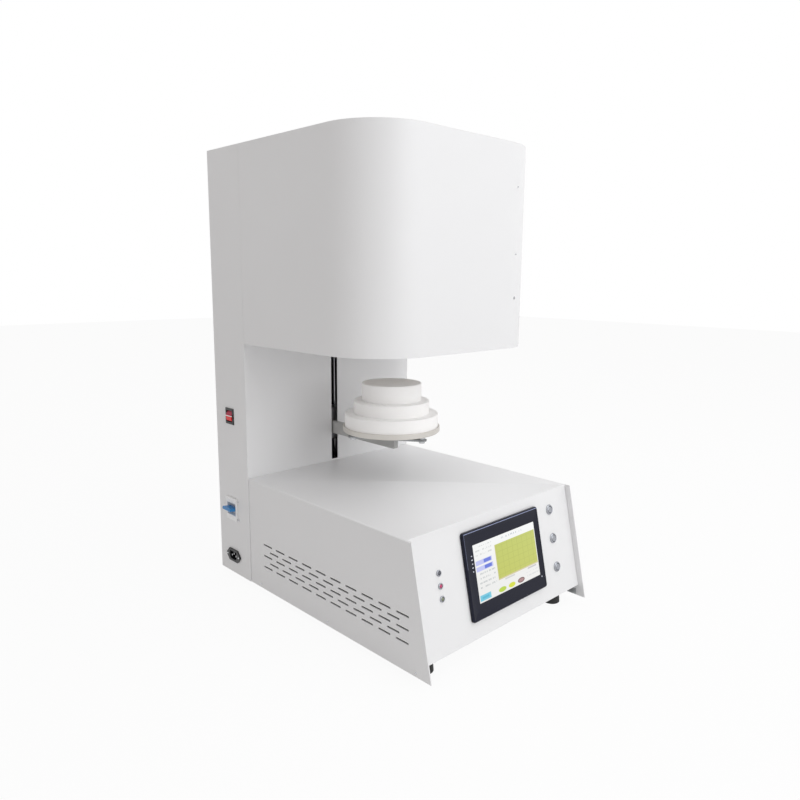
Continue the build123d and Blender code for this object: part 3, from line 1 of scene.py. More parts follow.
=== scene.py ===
"""Finishes a dental porcelain furnace for a studio picture.

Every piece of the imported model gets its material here. The painted sheets, the controls, the
lift and the hearth are remade with rolled edges, screw recesses, lenses and a lit display.
Places are written as on the drawing: millimetres, x from the middle, y from the front of the
column, z from the table. The control panel has its own places: across, down and out of its face.
"""

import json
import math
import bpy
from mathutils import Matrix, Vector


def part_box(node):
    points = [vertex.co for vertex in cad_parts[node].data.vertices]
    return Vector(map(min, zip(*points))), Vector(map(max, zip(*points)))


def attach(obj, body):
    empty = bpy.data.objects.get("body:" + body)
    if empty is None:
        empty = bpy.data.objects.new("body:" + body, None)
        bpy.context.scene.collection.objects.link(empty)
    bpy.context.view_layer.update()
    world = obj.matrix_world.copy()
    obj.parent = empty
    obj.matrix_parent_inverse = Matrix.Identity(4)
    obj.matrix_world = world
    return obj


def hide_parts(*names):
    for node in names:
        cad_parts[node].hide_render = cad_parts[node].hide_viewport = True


bl_info = {
    "name": "Dental Furnace",
    "version": (1, 0, 0),
    "blender": (4, 5, 0),
    "location": "3D View > Sidebar > Furnace",
    "description": "Finishes the pieces of a dental furnace and sets a studio round it",
    "category": "Object",
}

import bmesh
import bpy
from bpy.props import FloatProperty, FloatVectorProperty, PointerProperty
from mathutils import Euler, Matrix, Vector

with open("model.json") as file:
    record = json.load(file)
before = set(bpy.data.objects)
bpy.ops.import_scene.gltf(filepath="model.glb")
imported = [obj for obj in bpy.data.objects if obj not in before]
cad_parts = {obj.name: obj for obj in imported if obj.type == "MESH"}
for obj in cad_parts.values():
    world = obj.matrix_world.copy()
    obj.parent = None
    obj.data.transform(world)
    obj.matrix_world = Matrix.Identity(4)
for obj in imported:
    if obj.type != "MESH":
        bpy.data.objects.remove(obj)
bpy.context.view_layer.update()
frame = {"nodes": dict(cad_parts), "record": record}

MM = 0.001
COLUMN_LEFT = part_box("column_left_side")[0]
COLUMN_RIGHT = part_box("column_right_side")[1]
MIDDLE = (COLUMN_LEFT.x + COLUMN_RIGHT.x) / 2
COLUMN_FACE = COLUMN_LEFT.y

# The sloping control panel
PANEL_TOP_Y = -426.0
PANEL_TOP_Z = 219.0
PANEL_TILT = math.radians(12.265)
PANEL_TURN = Euler((math.pi / 2 - PANEL_TILT, 0, 0))

# Hearth axis, in front of the column
HEARTH_Y = -172.0

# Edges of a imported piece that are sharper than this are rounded
SHARP_ANGLE = math.radians(35)

# Materials made so far, by name
FINISHES = {}


def at(x, y, z):
    """A place on the drawing as a place in the scene."""
    return Vector((MIDDLE + x * MM, COLUMN_FACE + y * MM, z * MM))


def on_panel(across, down, out=0.0):
    """A place on the control panel: across from the middle, down from its top, out of its face."""
    y = PANEL_TOP_Y - down * math.sin(PANEL_TILT) - out * math.cos(PANEL_TILT)
    z = PANEL_TOP_Z - down * math.cos(PANEL_TILT) + out * math.sin(PANEL_TILT)
    return at(across, y, z)


def colour(red, green, blue):
    """A screen colour of 0 to 255 as the linear colour that a shader takes."""
    linear = []
    for value in (red, green, blue):
        share = value / 255
        linear.append(share / 12.92 if share <= 0.04045 else ((share + 0.055) / 1.055) ** 2.4)
    return (*linear, 1.0)


# Sizes and colours that a user may change


class FurnaceLooks(bpy.types.PropertyGroup):
    """Colours and edges of the furnace."""

    paint: FloatVectorProperty(
        name="Paint", description="Powder coat of the cabinet and hood", subtype="COLOR",
        size=4, min=0, max=1, default=colour(232, 232, 233))
    fibre: FloatVectorProperty(
        name="Hearth fibre", description="Fibre board of the hearth", subtype="COLOR",
        size=4, min=0, max=1, default=colour(254, 253, 252))
    display_frame: FloatVectorProperty(
        name="Display frame", description="Moulding round the touch screen", subtype="COLOR",
        size=4, min=0, max=1, default=colour(15, 18, 38))
    rocker: FloatVectorProperty(
        name="Rocker", description="Lower half of the rocker switch", subtype="COLOR",
        size=4, min=0, max=1, default=colour(240, 10, 12))
    toggle: FloatVectorProperty(
        name="Toggle", description="Linked toggle of the breaker", subtype="COLOR",
        size=4, min=0, max=1, default=colour(30, 128, 196))
    sheet_edge: FloatProperty(
        name="Sheet edge", description="Rounding of the edges of the painted sheets",
        unit="LENGTH", default=0.45 * MM, min=0)
    hearth_edge: FloatProperty(
        name="Hearth edge", description="Rounding of the hearth's tiers",
        unit="LENGTH", default=2.2 * MM, min=0)
    grain_depth: FloatProperty(
        name="Paint grain", description="Height of the powder coat's grain",
        unit="LENGTH", default=0.05 * MM, min=0)


class FurnaceStudio(bpy.types.PropertyGroup):
    """Light, floor and camera of the studio."""

    room_light: FloatProperty(
        name="Room light", description="Strength of the light from all round", default=0.6,
        min=0)
    key_light: FloatProperty(
        name="Key light", description="Power of the large soft lamp", unit="POWER",
        default=25.0, min=0)
    front_light: FloatProperty(
        name="Front light", description="Power of the soft lamp in front", unit="POWER",
        default=30.0, min=0)
    lens: FloatProperty(
        name="Lens", description="Focal length of the camera", default=31.32, min=1)
    floor_size: FloatProperty(
        name="Floor", description="Width of the floor", unit="LENGTH", default=16.0, min=1)


# Making and finding


def put_down():
    """Leaves edit mode and selects nothing."""
    if bpy.context.mode != "OBJECT":
        bpy.ops.object.mode_set(mode="OBJECT")
    bpy.ops.object.select_all(action="DESELECT")


def take(*pieces):
    """Selects just these pieces, the first one active."""
    put_down()
    for piece in pieces:
        piece.select_set(True)
    bpy.context.view_layer.objects.active = pieces[0]


def shape(piece):
    """Opens a piece in edit mode with nothing selected."""
    take(piece)
    bpy.ops.object.mode_set(mode="EDIT")
    bpy.ops.mesh.select_all(action="DESELECT")


def choose(kind, test):
    """Selects the faces, edges or vertices of the open piece that pass a test."""
    bpy.ops.mesh.select_mode(type=kind)
    bpy.ops.mesh.select_all(action="DESELECT")
    data = bpy.context.object.data
    mesh = bmesh.from_edit_mesh(data)
    parts = {"FACE": mesh.faces, "EDGE": mesh.edges, "VERT": mesh.verts}[kind]
    count = 0
    for part in parts:
        if test(part):
            part.select_set(True)
            count += 1
    bmesh.update_edit_mesh(data)
    if not count:
        raise RuntimeError(f"nothing to select on {bpy.context.object.name}")


def middle(edge):
    """The middle of an edge."""
    return (edge.verts[0].co + edge.verts[1].co) / 2


def along(edge, axis):
    """Whether an edge runs along an axis, 0, 1 or 2."""
    run = edge.verts[1].co - edge.verts[0].co
    return abs(run[axis]) > 0.999 * run.length


def stand(piece, place, turn=None):
    """Puts a piece that was modelled about the origin in its place, and applies it."""
    take(piece)
    piece.location = place
    if turn is not None:
        piece.rotation_euler = turn
    bpy.ops.object.transform_apply(location=True, rotation=True, scale=True)


def smooth(piece, angle=32.0):
    """Turns the faces outwards and shades them smooth up to an angle."""
    shape(piece)
    bpy.ops.mesh.select_all(action="SELECT")
    bpy.ops.mesh.normals_make_consistent(inside=False)
    take(piece)
    bpy.ops.object.shade_smooth_by_angle(angle=math.radians(angle))


def modify(piece, kind, **settings):
    """Adds a modifier and applies it."""
    take(piece)
    modifier = piece.modifiers.new(kind.title(), kind)
    for name, value in settings.items():
        setattr(modifier, name, value)
    bpy.ops.object.modifier_apply(modifier=modifier.name)


def join(pieces):
    """Makes one piece of several."""
    take(*pieces)
    if len(pieces) > 1:
        bpy.ops.object.join()
    return pieces[0]


def copy_of(piece):
    """A copy with a mesh of its own."""
    take(piece)
    bpy.ops.object.duplicate(linked=False)
    return bpy.context.object


def slot_of(node_name):
    """The record's material slot of a node."""
    return next(p["material_slot"] for p in frame["record"]["subparts"] if p["node"] == node_name)


def body_of(node_name):
    """The body that carries a node."""
    bodies = frame["record"]["behaviour"]["bodies"]
    return next(body for body, nodes in bodies.items() if node_name in nodes)


def settle(piece, name, body, finish, stands_for=()):
    """Names a finished piece, gives it its material and says what carries and what it replaces."""
    piece.name = name
    piece.data.name = name
    piece.data.materials.clear()
    piece.data.materials.append(finish)
    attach(piece, body)
    if stands_for:
        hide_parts(*stands_for)
    return piece


def block(size, centre=(0, 0, 0)):
    """A cube of a size in millimetres, to be shaped further."""
    put_down()
    bpy.ops.mesh.primitive_cube_add(size=1, location=[v * MM for v in centre],
                                    scale=[v * MM for v in size])
    piece = bpy.context.object
    bpy.ops.object.transform_apply(location=True, rotation=True, scale=True)
    return piece


def turned(profile, steps=64):
    """A turned piece: rings of the given radius and height in millimetres, drawn out one by one.

    A profile that starts or ends away from the axis is closed with a flat face there.
    """
    put_down()
    radius, height = profile[0]
    bpy.ops.mesh.primitive_circle_add(vertices=steps, radius=radius * MM, location=(0, 0, 0),
                                      fill_type="NGON")
    piece = bpy.context.object
    bpy.ops.object.mode_set(mode="EDIT")
    bpy.ops.mesh.select_all(action="SELECT")
    bpy.ops.transform.translate(value=(0, 0, height * MM))
    bpy.ops.mesh.select_mode(type="FACE")
    for next_radius, next_height in profile[1:]:
        bpy.ops.mesh.extrude_region_move(
            TRANSFORM_OT_translate={"value": (0, 0, (next_height - height) * MM)})
        grow = next_radius / radius
        centre = (0, 0, next_height * MM)
        bpy.ops.transform.resize(value=(grow, grow, 1), center_override=centre)
        radius, height = next_radius, next_height
    put_down()
    return piece


def arc(centre, radius, first, last, steps):
    """Points of a profile on an arc, angles in degrees from the radial direction."""
    points = []
    for i in range(steps + 1):
        angle = math.radians(first + (last - first) * i / steps)
        points.append((centre[0] + radius * math.cos(angle), centre[1] + radius * math.sin(angle)))
    return points


def merged_copy(node_name):
    """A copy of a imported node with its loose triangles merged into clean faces."""
    source = frame["nodes"][node_name]
    put_down()
    piece = bpy.data.objects.new(node_name + "_dressed", source.data.copy())
    bpy.context.scene.collection.objects.link(piece)
    shape(piece)
    bpy.ops.mesh.select_all(action="SELECT")
    bpy.ops.mesh.remove_doubles(threshold=1e-6)
    bpy.ops.mesh.dissolve_limited(angle_limit=math.radians(0.6))
    put_down()
    return piece


def eased(node_name, width, steps=2, spare=None):
    """A merged copy of a node with its sharp edges rounded, except those that a test spares."""
    return rounded(merged_copy(node_name), width, steps, spare)


def rounded(piece, width, steps=2, spare=None, bends=32.0):
    """Rounds the sharp edges of a piece, keeps flat faces flat and shades its bends smooth."""
    mark_edges(piece, spare)
    take(piece)
    bpy.ops.object.shade_smooth_by_angle(angle=math.radians(bends))
    modify(piece, "BEVEL", width=width, segments=steps, limit_method="WEIGHT",
           harden_normals=True, use_clamp_overlap=True)
    return piece


def mark_edges(piece, spare):
    """Gives the sharp edges of a piece a bevel weight."""
    data = piece.data
    mesh = bmesh.new()
    mesh.from_mesh(data)
    weight = mesh.edges.layers.float.new("bevel_weight_edge")
    for edge in mesh.edges:
        sharp = len(edge.link_faces) == 2 and edge.calc_face_angle(0) > SHARP_ANGLE
        if sharp and not (spare and spare(edge)):
            edge[weight] = 1.0
    mesh.to_mesh(data)
    mesh.free()


# Shared effects


# What every shared effect puts out
EFFECT_OUTPUTS = {"Colour": "NodeSocketColor", "Roughness": "NodeSocketFloat",
                  "Height": "NodeSocketFloat"}


def new_group(name, inputs):
    """An empty shader group with named sockets, and its two end nodes."""
    group = bpy.data.node_groups.new(name, "ShaderNodeTree")
    for label, kind, default in inputs:
        socket = group.interface.new_socket(name=label, in_out="INPUT", socket_type=kind)
        if default is not None:
            socket.default_value = default
    for label, kind in EFFECT_OUTPUTS.items():
        group.interface.new_socket(name=label, in_out="OUTPUT", socket_type=kind)
    return group, group.nodes.new("NodeGroupInput"), group.nodes.new("NodeGroupOutput")


def node(tree, kind, settings=None, **values):
    """A node with its settings and the values of its named inputs."""
    made = tree.nodes.new(kind)
    for name, value in (settings or {}).items():
        setattr(made, name, value)
    for name, value in values.items():
        made.inputs[name.replace("_", " ")].default_value = value
    return made


def sums(tree, operation, first, second):
    """A Math node whose two inputs are each a socket or a number."""
    made = node(tree, "ShaderNodeMath", {"operation": operation})
    for i, value in enumerate((first, second)):
        if isinstance(value, (int, float)):
            made.inputs[i].default_value = value
        else:
            tree.links.new(value, made.inputs[i])
    return made.outputs[0]


def product(tree, *factors):
    """The product of several sockets or numbers."""
    result = factors[0]
    for factor in factors[1:]:
        result = sums(tree, "MULTIPLY", result, factor)
    return result


def waves(tree, value, turns):
    """The sine of a socket times a number."""
    return sums(tree, "SINE", product(tree, value, turns), 0.0)


def spread(tree, value, low, high, to_low=0.0, to_high=1.0):
    """A Map Range node on a socket."""
    made = node(tree, "ShaderNodeMapRange", None, From_Min=low, From_Max=high,
                To_Min=to_low, To_Max=to_high)
    tree.links.new(value, made.inputs["Value"])
    return made.outputs["Result"]


def blended(tree, factor, first, second):
    """A colour mix: each input is a socket or a colour."""
    made = node(tree, "ShaderNodeMix", {"data_type": "RGBA"})
    for name, value in (("Factor_Float", factor), ("A_Color", first), ("B_Color", second)):
        socket = next(s for s in made.inputs if s.identifier == name)
        if isinstance(value, (int, float, tuple)):
            socket.default_value = value
        else:
            tree.links.new(value, socket)
    return next(s for s in made.outputs if s.identifier == "Result_Color")


def put_out(group, end, *results):
    """Joins an effect's colour, roughness and height to its outputs."""
    for label, result in zip(EFFECT_OUTPUTS, results):
        group.links.new(result, end.inputs[label])
    return group


def uneven(group, start, mask):
    """An effect's roughness, raised and lowered by a mask."""
    change = product(group, sums(group, "SUBTRACT", mask, 0.5), start.outputs["Roughness Change"])
    return sums(group, "ADD", start.outputs["Roughness"], change)


def grain_group():
    """Fine grain with broad, faint changes of tone: paint, plastic, rubber and castings."""
    group, start, end = new_group("Surface Grain", (
        ("Place", "NodeSocketVector", None),
        ("Colour", "NodeSocketColor", (0.8, 0.8, 0.8, 1)),
        ("Shade", "NodeSocketColor", (0.6, 0.6, 0.6, 1)),
        ("Tone", "NodeSocketFloat", 0.3),
        ("Grain Size", "NodeSocketFloat", 900.0),
        ("Roughness", "NodeSocketFloat", 0.5),
        ("Roughness Change", "NodeSocketFloat", 0.1),
    ))
    fine = node(group, "ShaderNodeTexNoise", None, Detail=2.0, Roughness=0.5)
    broad = node(group, "ShaderNodeTexNoise", None, Scale=7.0, Detail=3.0)
    group.links.new(start.outputs["Place"], fine.inputs["Vector"])
    group.links.new(start.outputs["Grain Size"], fine.inputs["Scale"])
    group.links.new(start.outputs["Place"], broad.inputs["Vector"])
    drift = spread(group, broad.outputs["Fac"], 0.3, 0.7)
    fleck = spread(group, fine.outputs["Fac"], 0.25, 0.75)
    both = sums(group, "ADD", product(group, drift, 0.7), product(group, fleck, 0.3))
    share = product(group, both, start.outputs["Tone"])
    tone = blended(group, share, start.outputs["Colour"], start.outputs["Shade"])
    rough = uneven(group, start, both)
    return put_out(group, end, tone, rough, fleck)


def brushed_group():
    """Long fine scratches one way: ground, rolled and brushed metal."""
    group, start, end = new_group("Brushed Lines", (
        ("Place", "NodeSocketVector", None),
        ("Colour", "NodeSocketColor", (0.6, 0.6, 0.6, 1)),
        ("Shade", "NodeSocketColor", (0.3, 0.3, 0.3, 1)),
        ("Tone", "NodeSocketFloat", 0.4),
        ("Roughness", "NodeSocketFloat", 0.3),
        ("Roughness Change", "NodeSocketFloat", 0.15),
    ))
    stretch = node(group, "ShaderNodeMapping", None, Scale=(60.0, 60.0, 1500.0))
    lines = node(group, "ShaderNodeTexNoise", None, Scale=1.0, Detail=3.0)
    smear = node(group, "ShaderNodeTexNoise", None, Scale=35.0, Detail=2.0)
    group.links.new(start.outputs["Place"], stretch.inputs["Vector"])
    group.links.new(stretch.outputs["Vector"], lines.inputs["Vector"])
    group.links.new(start.outputs["Place"], smear.inputs["Vector"])
    line = spread(group, lines.outputs["Fac"], 0.3, 0.7)
    patch = spread(group, smear.outputs["Fac"], 0.35, 0.7)
    share = product(group, patch, start.outputs["Tone"])
    tone = blended(group, share, start.outputs["Colour"], start.outputs["Shade"])
    both = sums(group, "ADD", product(group, line, 0.5), product(group, patch, 0.5))
    rough = uneven(group, start, both)
    return put_out(group, end, tone, rough, line)


def fibre_group():
    """Pressed ceramic fibre: soft clumps, short fibres, faint stains and small pits, with painted
    shade in the pits.
    """
    group, start, end = new_group("Pressed Fibre", (
        ("Place", "NodeSocketVector", None),
        ("Colour", "NodeSocketColor", (0.9, 0.9, 0.9, 1)),
        ("Shade", "NodeSocketColor", (0.6, 0.6, 0.6, 1)),
        ("Tone", "NodeSocketFloat", 0.4),
    ))
    clump = node(group, "ShaderNodeTexNoise", None, Scale=220.0, Detail=6.0, Roughness=0.7)
    pits = node(group, "ShaderNodeTexVoronoi", None, Scale=420.0)
    stain = node(group, "ShaderNodeTexNoise", None, Scale=26.0, Detail=3.0)
    for texture in (clump, pits, stain):
        group.links.new(start.outputs["Place"], texture.inputs["Vector"])
    pit = spread(group, pits.outputs["Distance"], 0.08, 0.22)
    soft = spread(group, clump.outputs["Fac"], 0.3, 0.7)
    dirt = spread(group, stain.outputs["Fac"], 0.45, 0.75)
    # Painted shade: the pits are drawn darker, and each point takes the darker of this and the
    # stains
    pit_shade = product(group, sums(group, "SUBTRACT", 1.0, pit), 0.6)
    shade = sums(group, "MAXIMUM", product(group, dirt, 0.5), pit_shade)
    share = product(group, shade, start.outputs["Tone"])
    tone = blended(group, share, start.outputs["Colour"], start.outputs["Shade"])
    height = sums(group, "ADD", product(group, soft, 0.5), product(group, pit, 0.5))
    rough = spread(group, soft, 0.0, 1.0, 0.85, 0.97)
    return put_out(group, end, tone, rough, height)


def effect(name):
    """The shared effect of a name, made at its first use."""
    makers = {"Surface Grain": grain_group, "Brushed Lines": brushed_group,
              "Pressed Fibre": fibre_group}
    return bpy.data.node_groups.get(name) or makers[name]()


def begin(name):
    """A new material: its tree, its shader and its object coordinates."""
    material = bpy.data.materials.new(name)
    material.use_nodes = True
    tree = material.node_tree
    shader = next(n for n in tree.nodes if n.type == "BSDF_PRINCIPLED")
    place = tree.nodes.new("ShaderNodeTexCoord").outputs["Object"]
    FINISHES[name] = material
    return material, tree, shader, place


def place_effect(tree, shader, place, name, depth, **values):
    """Puts a shared effect in a material and feeds its colour, roughness and bump to the shader."""
    group = tree.nodes.new("ShaderNodeGroup")
    group.node_tree = effect(name)
    tree.links.new(place, group.inputs["Place"])
    for label, value in values.items():
        group.inputs[label.replace("_", " ")].default_value = value
    tree.links.new(group.outputs["Colour"], shader.inputs["Base Color"])
    tree.links.new(group.outputs["Roughness"], shader.inputs["Roughness"])
    bump = node(tree, "ShaderNodeBump", None, Strength=1.0, Distance=depth)
    tree.links.new(group.outputs["Height"], bump.inputs["Height"])
    tree.links.new(bump.outputs["Normal"], shader.inputs["Normal"])
    return group


def darker(tone, share, warm=1.0):
    """A colour made darker, and a little warmer if asked."""
    return (tone[0] * share, tone[1] * share * (2 + warm) / 3, tone[2] * share * warm, 1.0)


def grained(name, tone, rough, size=900.0, depth=0.04 * MM, tone_share=0.25, metal=0.0, coat=0.0,
            change=0.12, shade=0.82):
    """A painted, moulded or cast material."""
    material, tree, shader, place = begin(name)
    place_effect(tree, shader, place, "Surface Grain", depth, Colour=tuple(tone),
                 Shade=darker(tone, shade), Tone=tone_share, Grain_Size=size, Roughness=rough,
                 Roughness_Change=change)
    shader.inputs["Metallic"].default_value = metal
    shader.inputs["Coat Weight"].default_value = coat
    return material


def brushed(name, tone, rough, depth=0.01 * MM, tone_share=0.5, change=0.15, shade=0.7):
    """A bright metal with its working marks."""
    material, tree, shader, place = begin(name)
    place_effect(tree, shader, place, "Brushed Lines", depth, Colour=tuple(tone),
                 Shade=darker(tone, shade), Tone=tone_share, Roughness=rough,
                 Roughness_Change=change)
    shader.inputs["Metallic"].default_value = 1.0
    return material


def fibrous(name, tone, depth=0.12 * MM, tone_share=0.35):
    """A ceramic fibre board."""
    material, tree, shader, place = begin(name)
    place_effect(tree, shader, place, "Pressed Fibre", depth, Colour=tuple(tone),
                 Shade=darker(tone, 0.72, 0.94), Tone=tone_share)
    shader.inputs["Specular IOR Level"].default_value = 0.3
    return material


def finish(slot):
    """The material of a slot of the record, made at its first use."""
    name = slot.replace("_", " ")
    if name in FINISHES:
        return FINISHES[name]
    looks = bpy.context.scene.furnace_looks
    makers = {
        "painted sheet": lambda: grained(name, looks.paint, 0.42, 1400.0, looks.grain_depth, 0.10,
                                         change=0.10, shade=0.93),
        "bare sheet": lambda: brushed(name, colour(176, 178, 180), 0.38),
        "steel": lambda: brushed(name, colour(150, 152, 154), 0.34),
        "ground steel": lambda: brushed(name, colour(196, 197, 199), 0.2, 0.004 * MM, 0.3),
        "aluminium": lambda: brushed(name, colour(205, 206, 208), 0.36),
        "hearth fibre": lambda: fibrous(name, looks.fibre, tone_share=0.2),
        "lining fibre": lambda: fibrous(name, colour(236, 230, 220), 0.25 * MM, 0.5),
        "element": lambda: grained(name, colour(92, 88, 86), 0.5, 700.0, metal=0.6),
        "white ceramic": lambda: grained(name, colour(234, 231, 224), 0.3, coat=0.3),
        "screen frame": lambda: display_frame(name),
        "screen glass": lambda: display_picture(name),
        "chrome": lambda: brushed(name, colour(168, 170, 176), 0.1, 0.002 * MM, 0.3, 0.05),
        "lens": lambda: lens_glass(name, colour(90, 92, 96)),
        "black plastic": lambda: grained(name, colour(24, 24, 26), 0.42, 1100.0, tone_share=0.4),
        "red plastic": lambda: rocker_red(name),
        "white plastic": lambda: grained(name, colour(246, 246, 246), 0.32, 1200.0, 0.02 * MM,
                                         coat=0.15),
        "blue plastic": lambda: grained(name, looks.toggle, 0.3, 1000.0, 0.03 * MM, 0.3, coat=0.3,
                                        shade=0.6),
        "rubber": lambda: grained(name, colour(34, 34, 35), 0.75, 500.0, 0.08 * MM, 0.5),
        "black metal": lambda: grained(name, colour(32, 33, 35), 0.45, 900.0, metal=0.5),
        "brass": lambda: brushed(name, colour(196, 164, 96), 0.3),
        "core": lambda: laminated(name),
        "winding": lambda: wound(name),
        "circuit board": lambda: grained(name, colour(22, 84, 48), 0.38, 300.0, 0.05 * MM, 0.6),
    }
    return makers[name]()


def laminated(name):
    """Transformer steel: thin sheets stacked up across the core."""
    material, tree, shader, place = begin(name)
    place_effect(tree, shader, place, "Brushed Lines", 0.02 * MM, Colour=colour(112, 112, 116),
                 Shade=colour(70, 72, 78), Tone=0.6, Roughness=0.45, Roughness_Change=0.2)
    shader.inputs["Metallic"].default_value = 0.8
    return material


def wound(name):
    """Enamelled copper wire in close turns."""
    material, tree, shader, place = begin(name)
    place_effect(tree, shader, place, "Surface Grain", 0.02 * MM, Colour=colour(168, 92, 44),
                 Shade=colour(110, 52, 24), Tone=0.4, Grain_Size=300.0, Roughness=0.35)
    turns = node(tree, "ShaderNodeTexWave", {"bands_direction": "Z"}, Scale=180.0, Distortion=0.2)
    tree.links.new(place, turns.inputs["Vector"])
    bump = node(tree, "ShaderNodeBump", None, Strength=1.0, Distance=0.4 * MM)
    tree.links.new(turns.outputs["Fac"], bump.inputs["Height"])
    tree.links.new(bump.outputs["Normal"], shader.inputs["Normal"])
    return material


def lens_glass(name, tone):
    """Tinted, glossy lens of an indicator lamp."""
    return grained(name, tone, 0.08, 1500.0, 0.005 * MM, 0.2, coat=0.6, change=0.04, shade=0.5)


# Patterns of one piece


def rectangle(tree, across, up, box, soft=0.0006):
    """A mask that is 1 inside left, right, bottom and top."""
    left, right, low, high = box
    sides = (
        spread(tree, across, left - soft, left + soft),
        spread(tree, across, right + soft, right - soft),
        spread(tree, up, low - soft, low + soft),
        spread(tree, up, high + soft, high - soft),
    )
    return product(tree, *sides)


def panel_places(tree, place, across, down):
    """Coordinates on the control panel, in millimetres right and up from a point on it."""
    origin = on_panel(across, down)
    turn = node(tree, "ShaderNodeMapping", None, Rotation=(PANEL_TILT - math.pi / 2, 0, 0))
    matrix = Euler((PANEL_TILT - math.pi / 2, 0, 0)).to_matrix()
    turn.inputs["Location"].default_value = -(matrix @ origin)
    tree.links.new(place, turn.inputs["Vector"])
    larger = node(tree, "ShaderNodeVectorMath", {"operation": "SCALE"}, Scale=1 / MM)
    tree.links.new(turn.outputs["Vector"], larger.inputs[0])
    apart = tree.nodes.new("ShaderNodeSeparateXYZ")
    tree.links.new(larger.outputs[0], apart.inputs[0])
    return apart.outputs["X"], apart.outputs["Y"]


# Touch screen: its frame on the panel and the window in the frame, in millimetres
SCREEN_ACROSS = 5.0
SCREEN_DOWN = 18.5
FRAME_W = 200.0
FRAME_H = 143.5
FRAME_OUT = 6.0
WINDOW_W = 164.5
WINDOW_H = 95.0
WINDOW_LEFT = 20.3
WINDOW_TOP = 23.5
WINDOW_ACROSS = SCREEN_ACROSS - FRAME_W / 2 + WINDOW_LEFT
WINDOW_DOWN = SCREEN_DOWN + WINDOW_TOP
FRAME_CORNER = 5.0
FRAME_CHAMFER = 1.6
MEMBRANE_DROP = 0.5
HOUSING_INSET = 4.4
HOUSING_DEPTH = 30.0

# On the moulding, from the window's lower left corner: printed ticks and sensor, and painted
# highlights of the rolled edge
TICK_WIDTHS = (2.4, 3.4, 2.6, 3.2, 2.2)
TICK_ACROSS = -5.2
TICK_TOP = 78.0
TICK_PITCH = 6.2
TICK_HEIGHT = 1.7
SENSOR_BOX = (WINDOW_W + 2.2, WINDOW_W + 4.4, -4.6, -2.4)
MOULDING_TOP = WINDOW_H + WINDOW_TOP
# Painted highlights of the rolled edge: a light band along the top, and a fainter one down the left
# side
TOP_HIGHLIGHT = (-17.5, 176.0, MOULDING_TOP - 3.1, MOULDING_TOP - 2.3)
LEFT_HIGHLIGHT = (-18.0, -17.3, 60.0, MOULDING_TOP - 3.0)


def display_frame(name):
    """Dark blue-black moulding with a row of small printed ticks beside the window, and painted
    highlights along its rolled edge.
    """
    material, tree, shader, place = begin(name)
    looks = bpy.context.scene.furnace_looks
    group = place_effect(tree, shader, place, "Surface Grain", 0.01 * MM,
                         Colour=tuple(looks.display_frame), Shade=darker(looks.display_frame, 0.5),
                         Tone=0.5, Grain_Size=1300.0, Roughness=0.24, Roughness_Change=0.1)
    across, up = panel_places(tree, place, WINDOW_ACROSS, WINDOW_DOWN + WINDOW_H)
    marks = rectangle(tree, across, up, SENSOR_BOX, 0.5)
    for i, width in enumerate(TICK_WIDTHS):
        low = TICK_TOP - TICK_PITCH * i
        box = (TICK_ACROSS - width / 2, TICK_ACROSS + width / 2, low, low + TICK_HEIGHT)
        marks = sums(tree, "MAXIMUM", marks, rectangle(tree, across, up, box, 0.2))
    tone = blended(tree, marks, group.outputs["Colour"], colour(206, 210, 220))
    # Painted highlight: the rolled edge is drawn lighter along the top, and more faintly down the
    # left side, where it would catch the light
    top_highlight = rectangle(tree, across, up, TOP_HIGHLIGHT, 0.25)
    left_highlight = rectangle(tree, across, up, LEFT_HIGHLIGHT, 0.25)
    line = sums(tree, "MAXIMUM", top_highlight, product(tree, left_highlight, 0.35))
    tone = blended(tree, line, tone, colour(168, 178, 216))
    tree.links.new(tone, shader.inputs["Base Color"])
    shader.inputs["Specular IOR Level"].default_value = 0.22
    return material


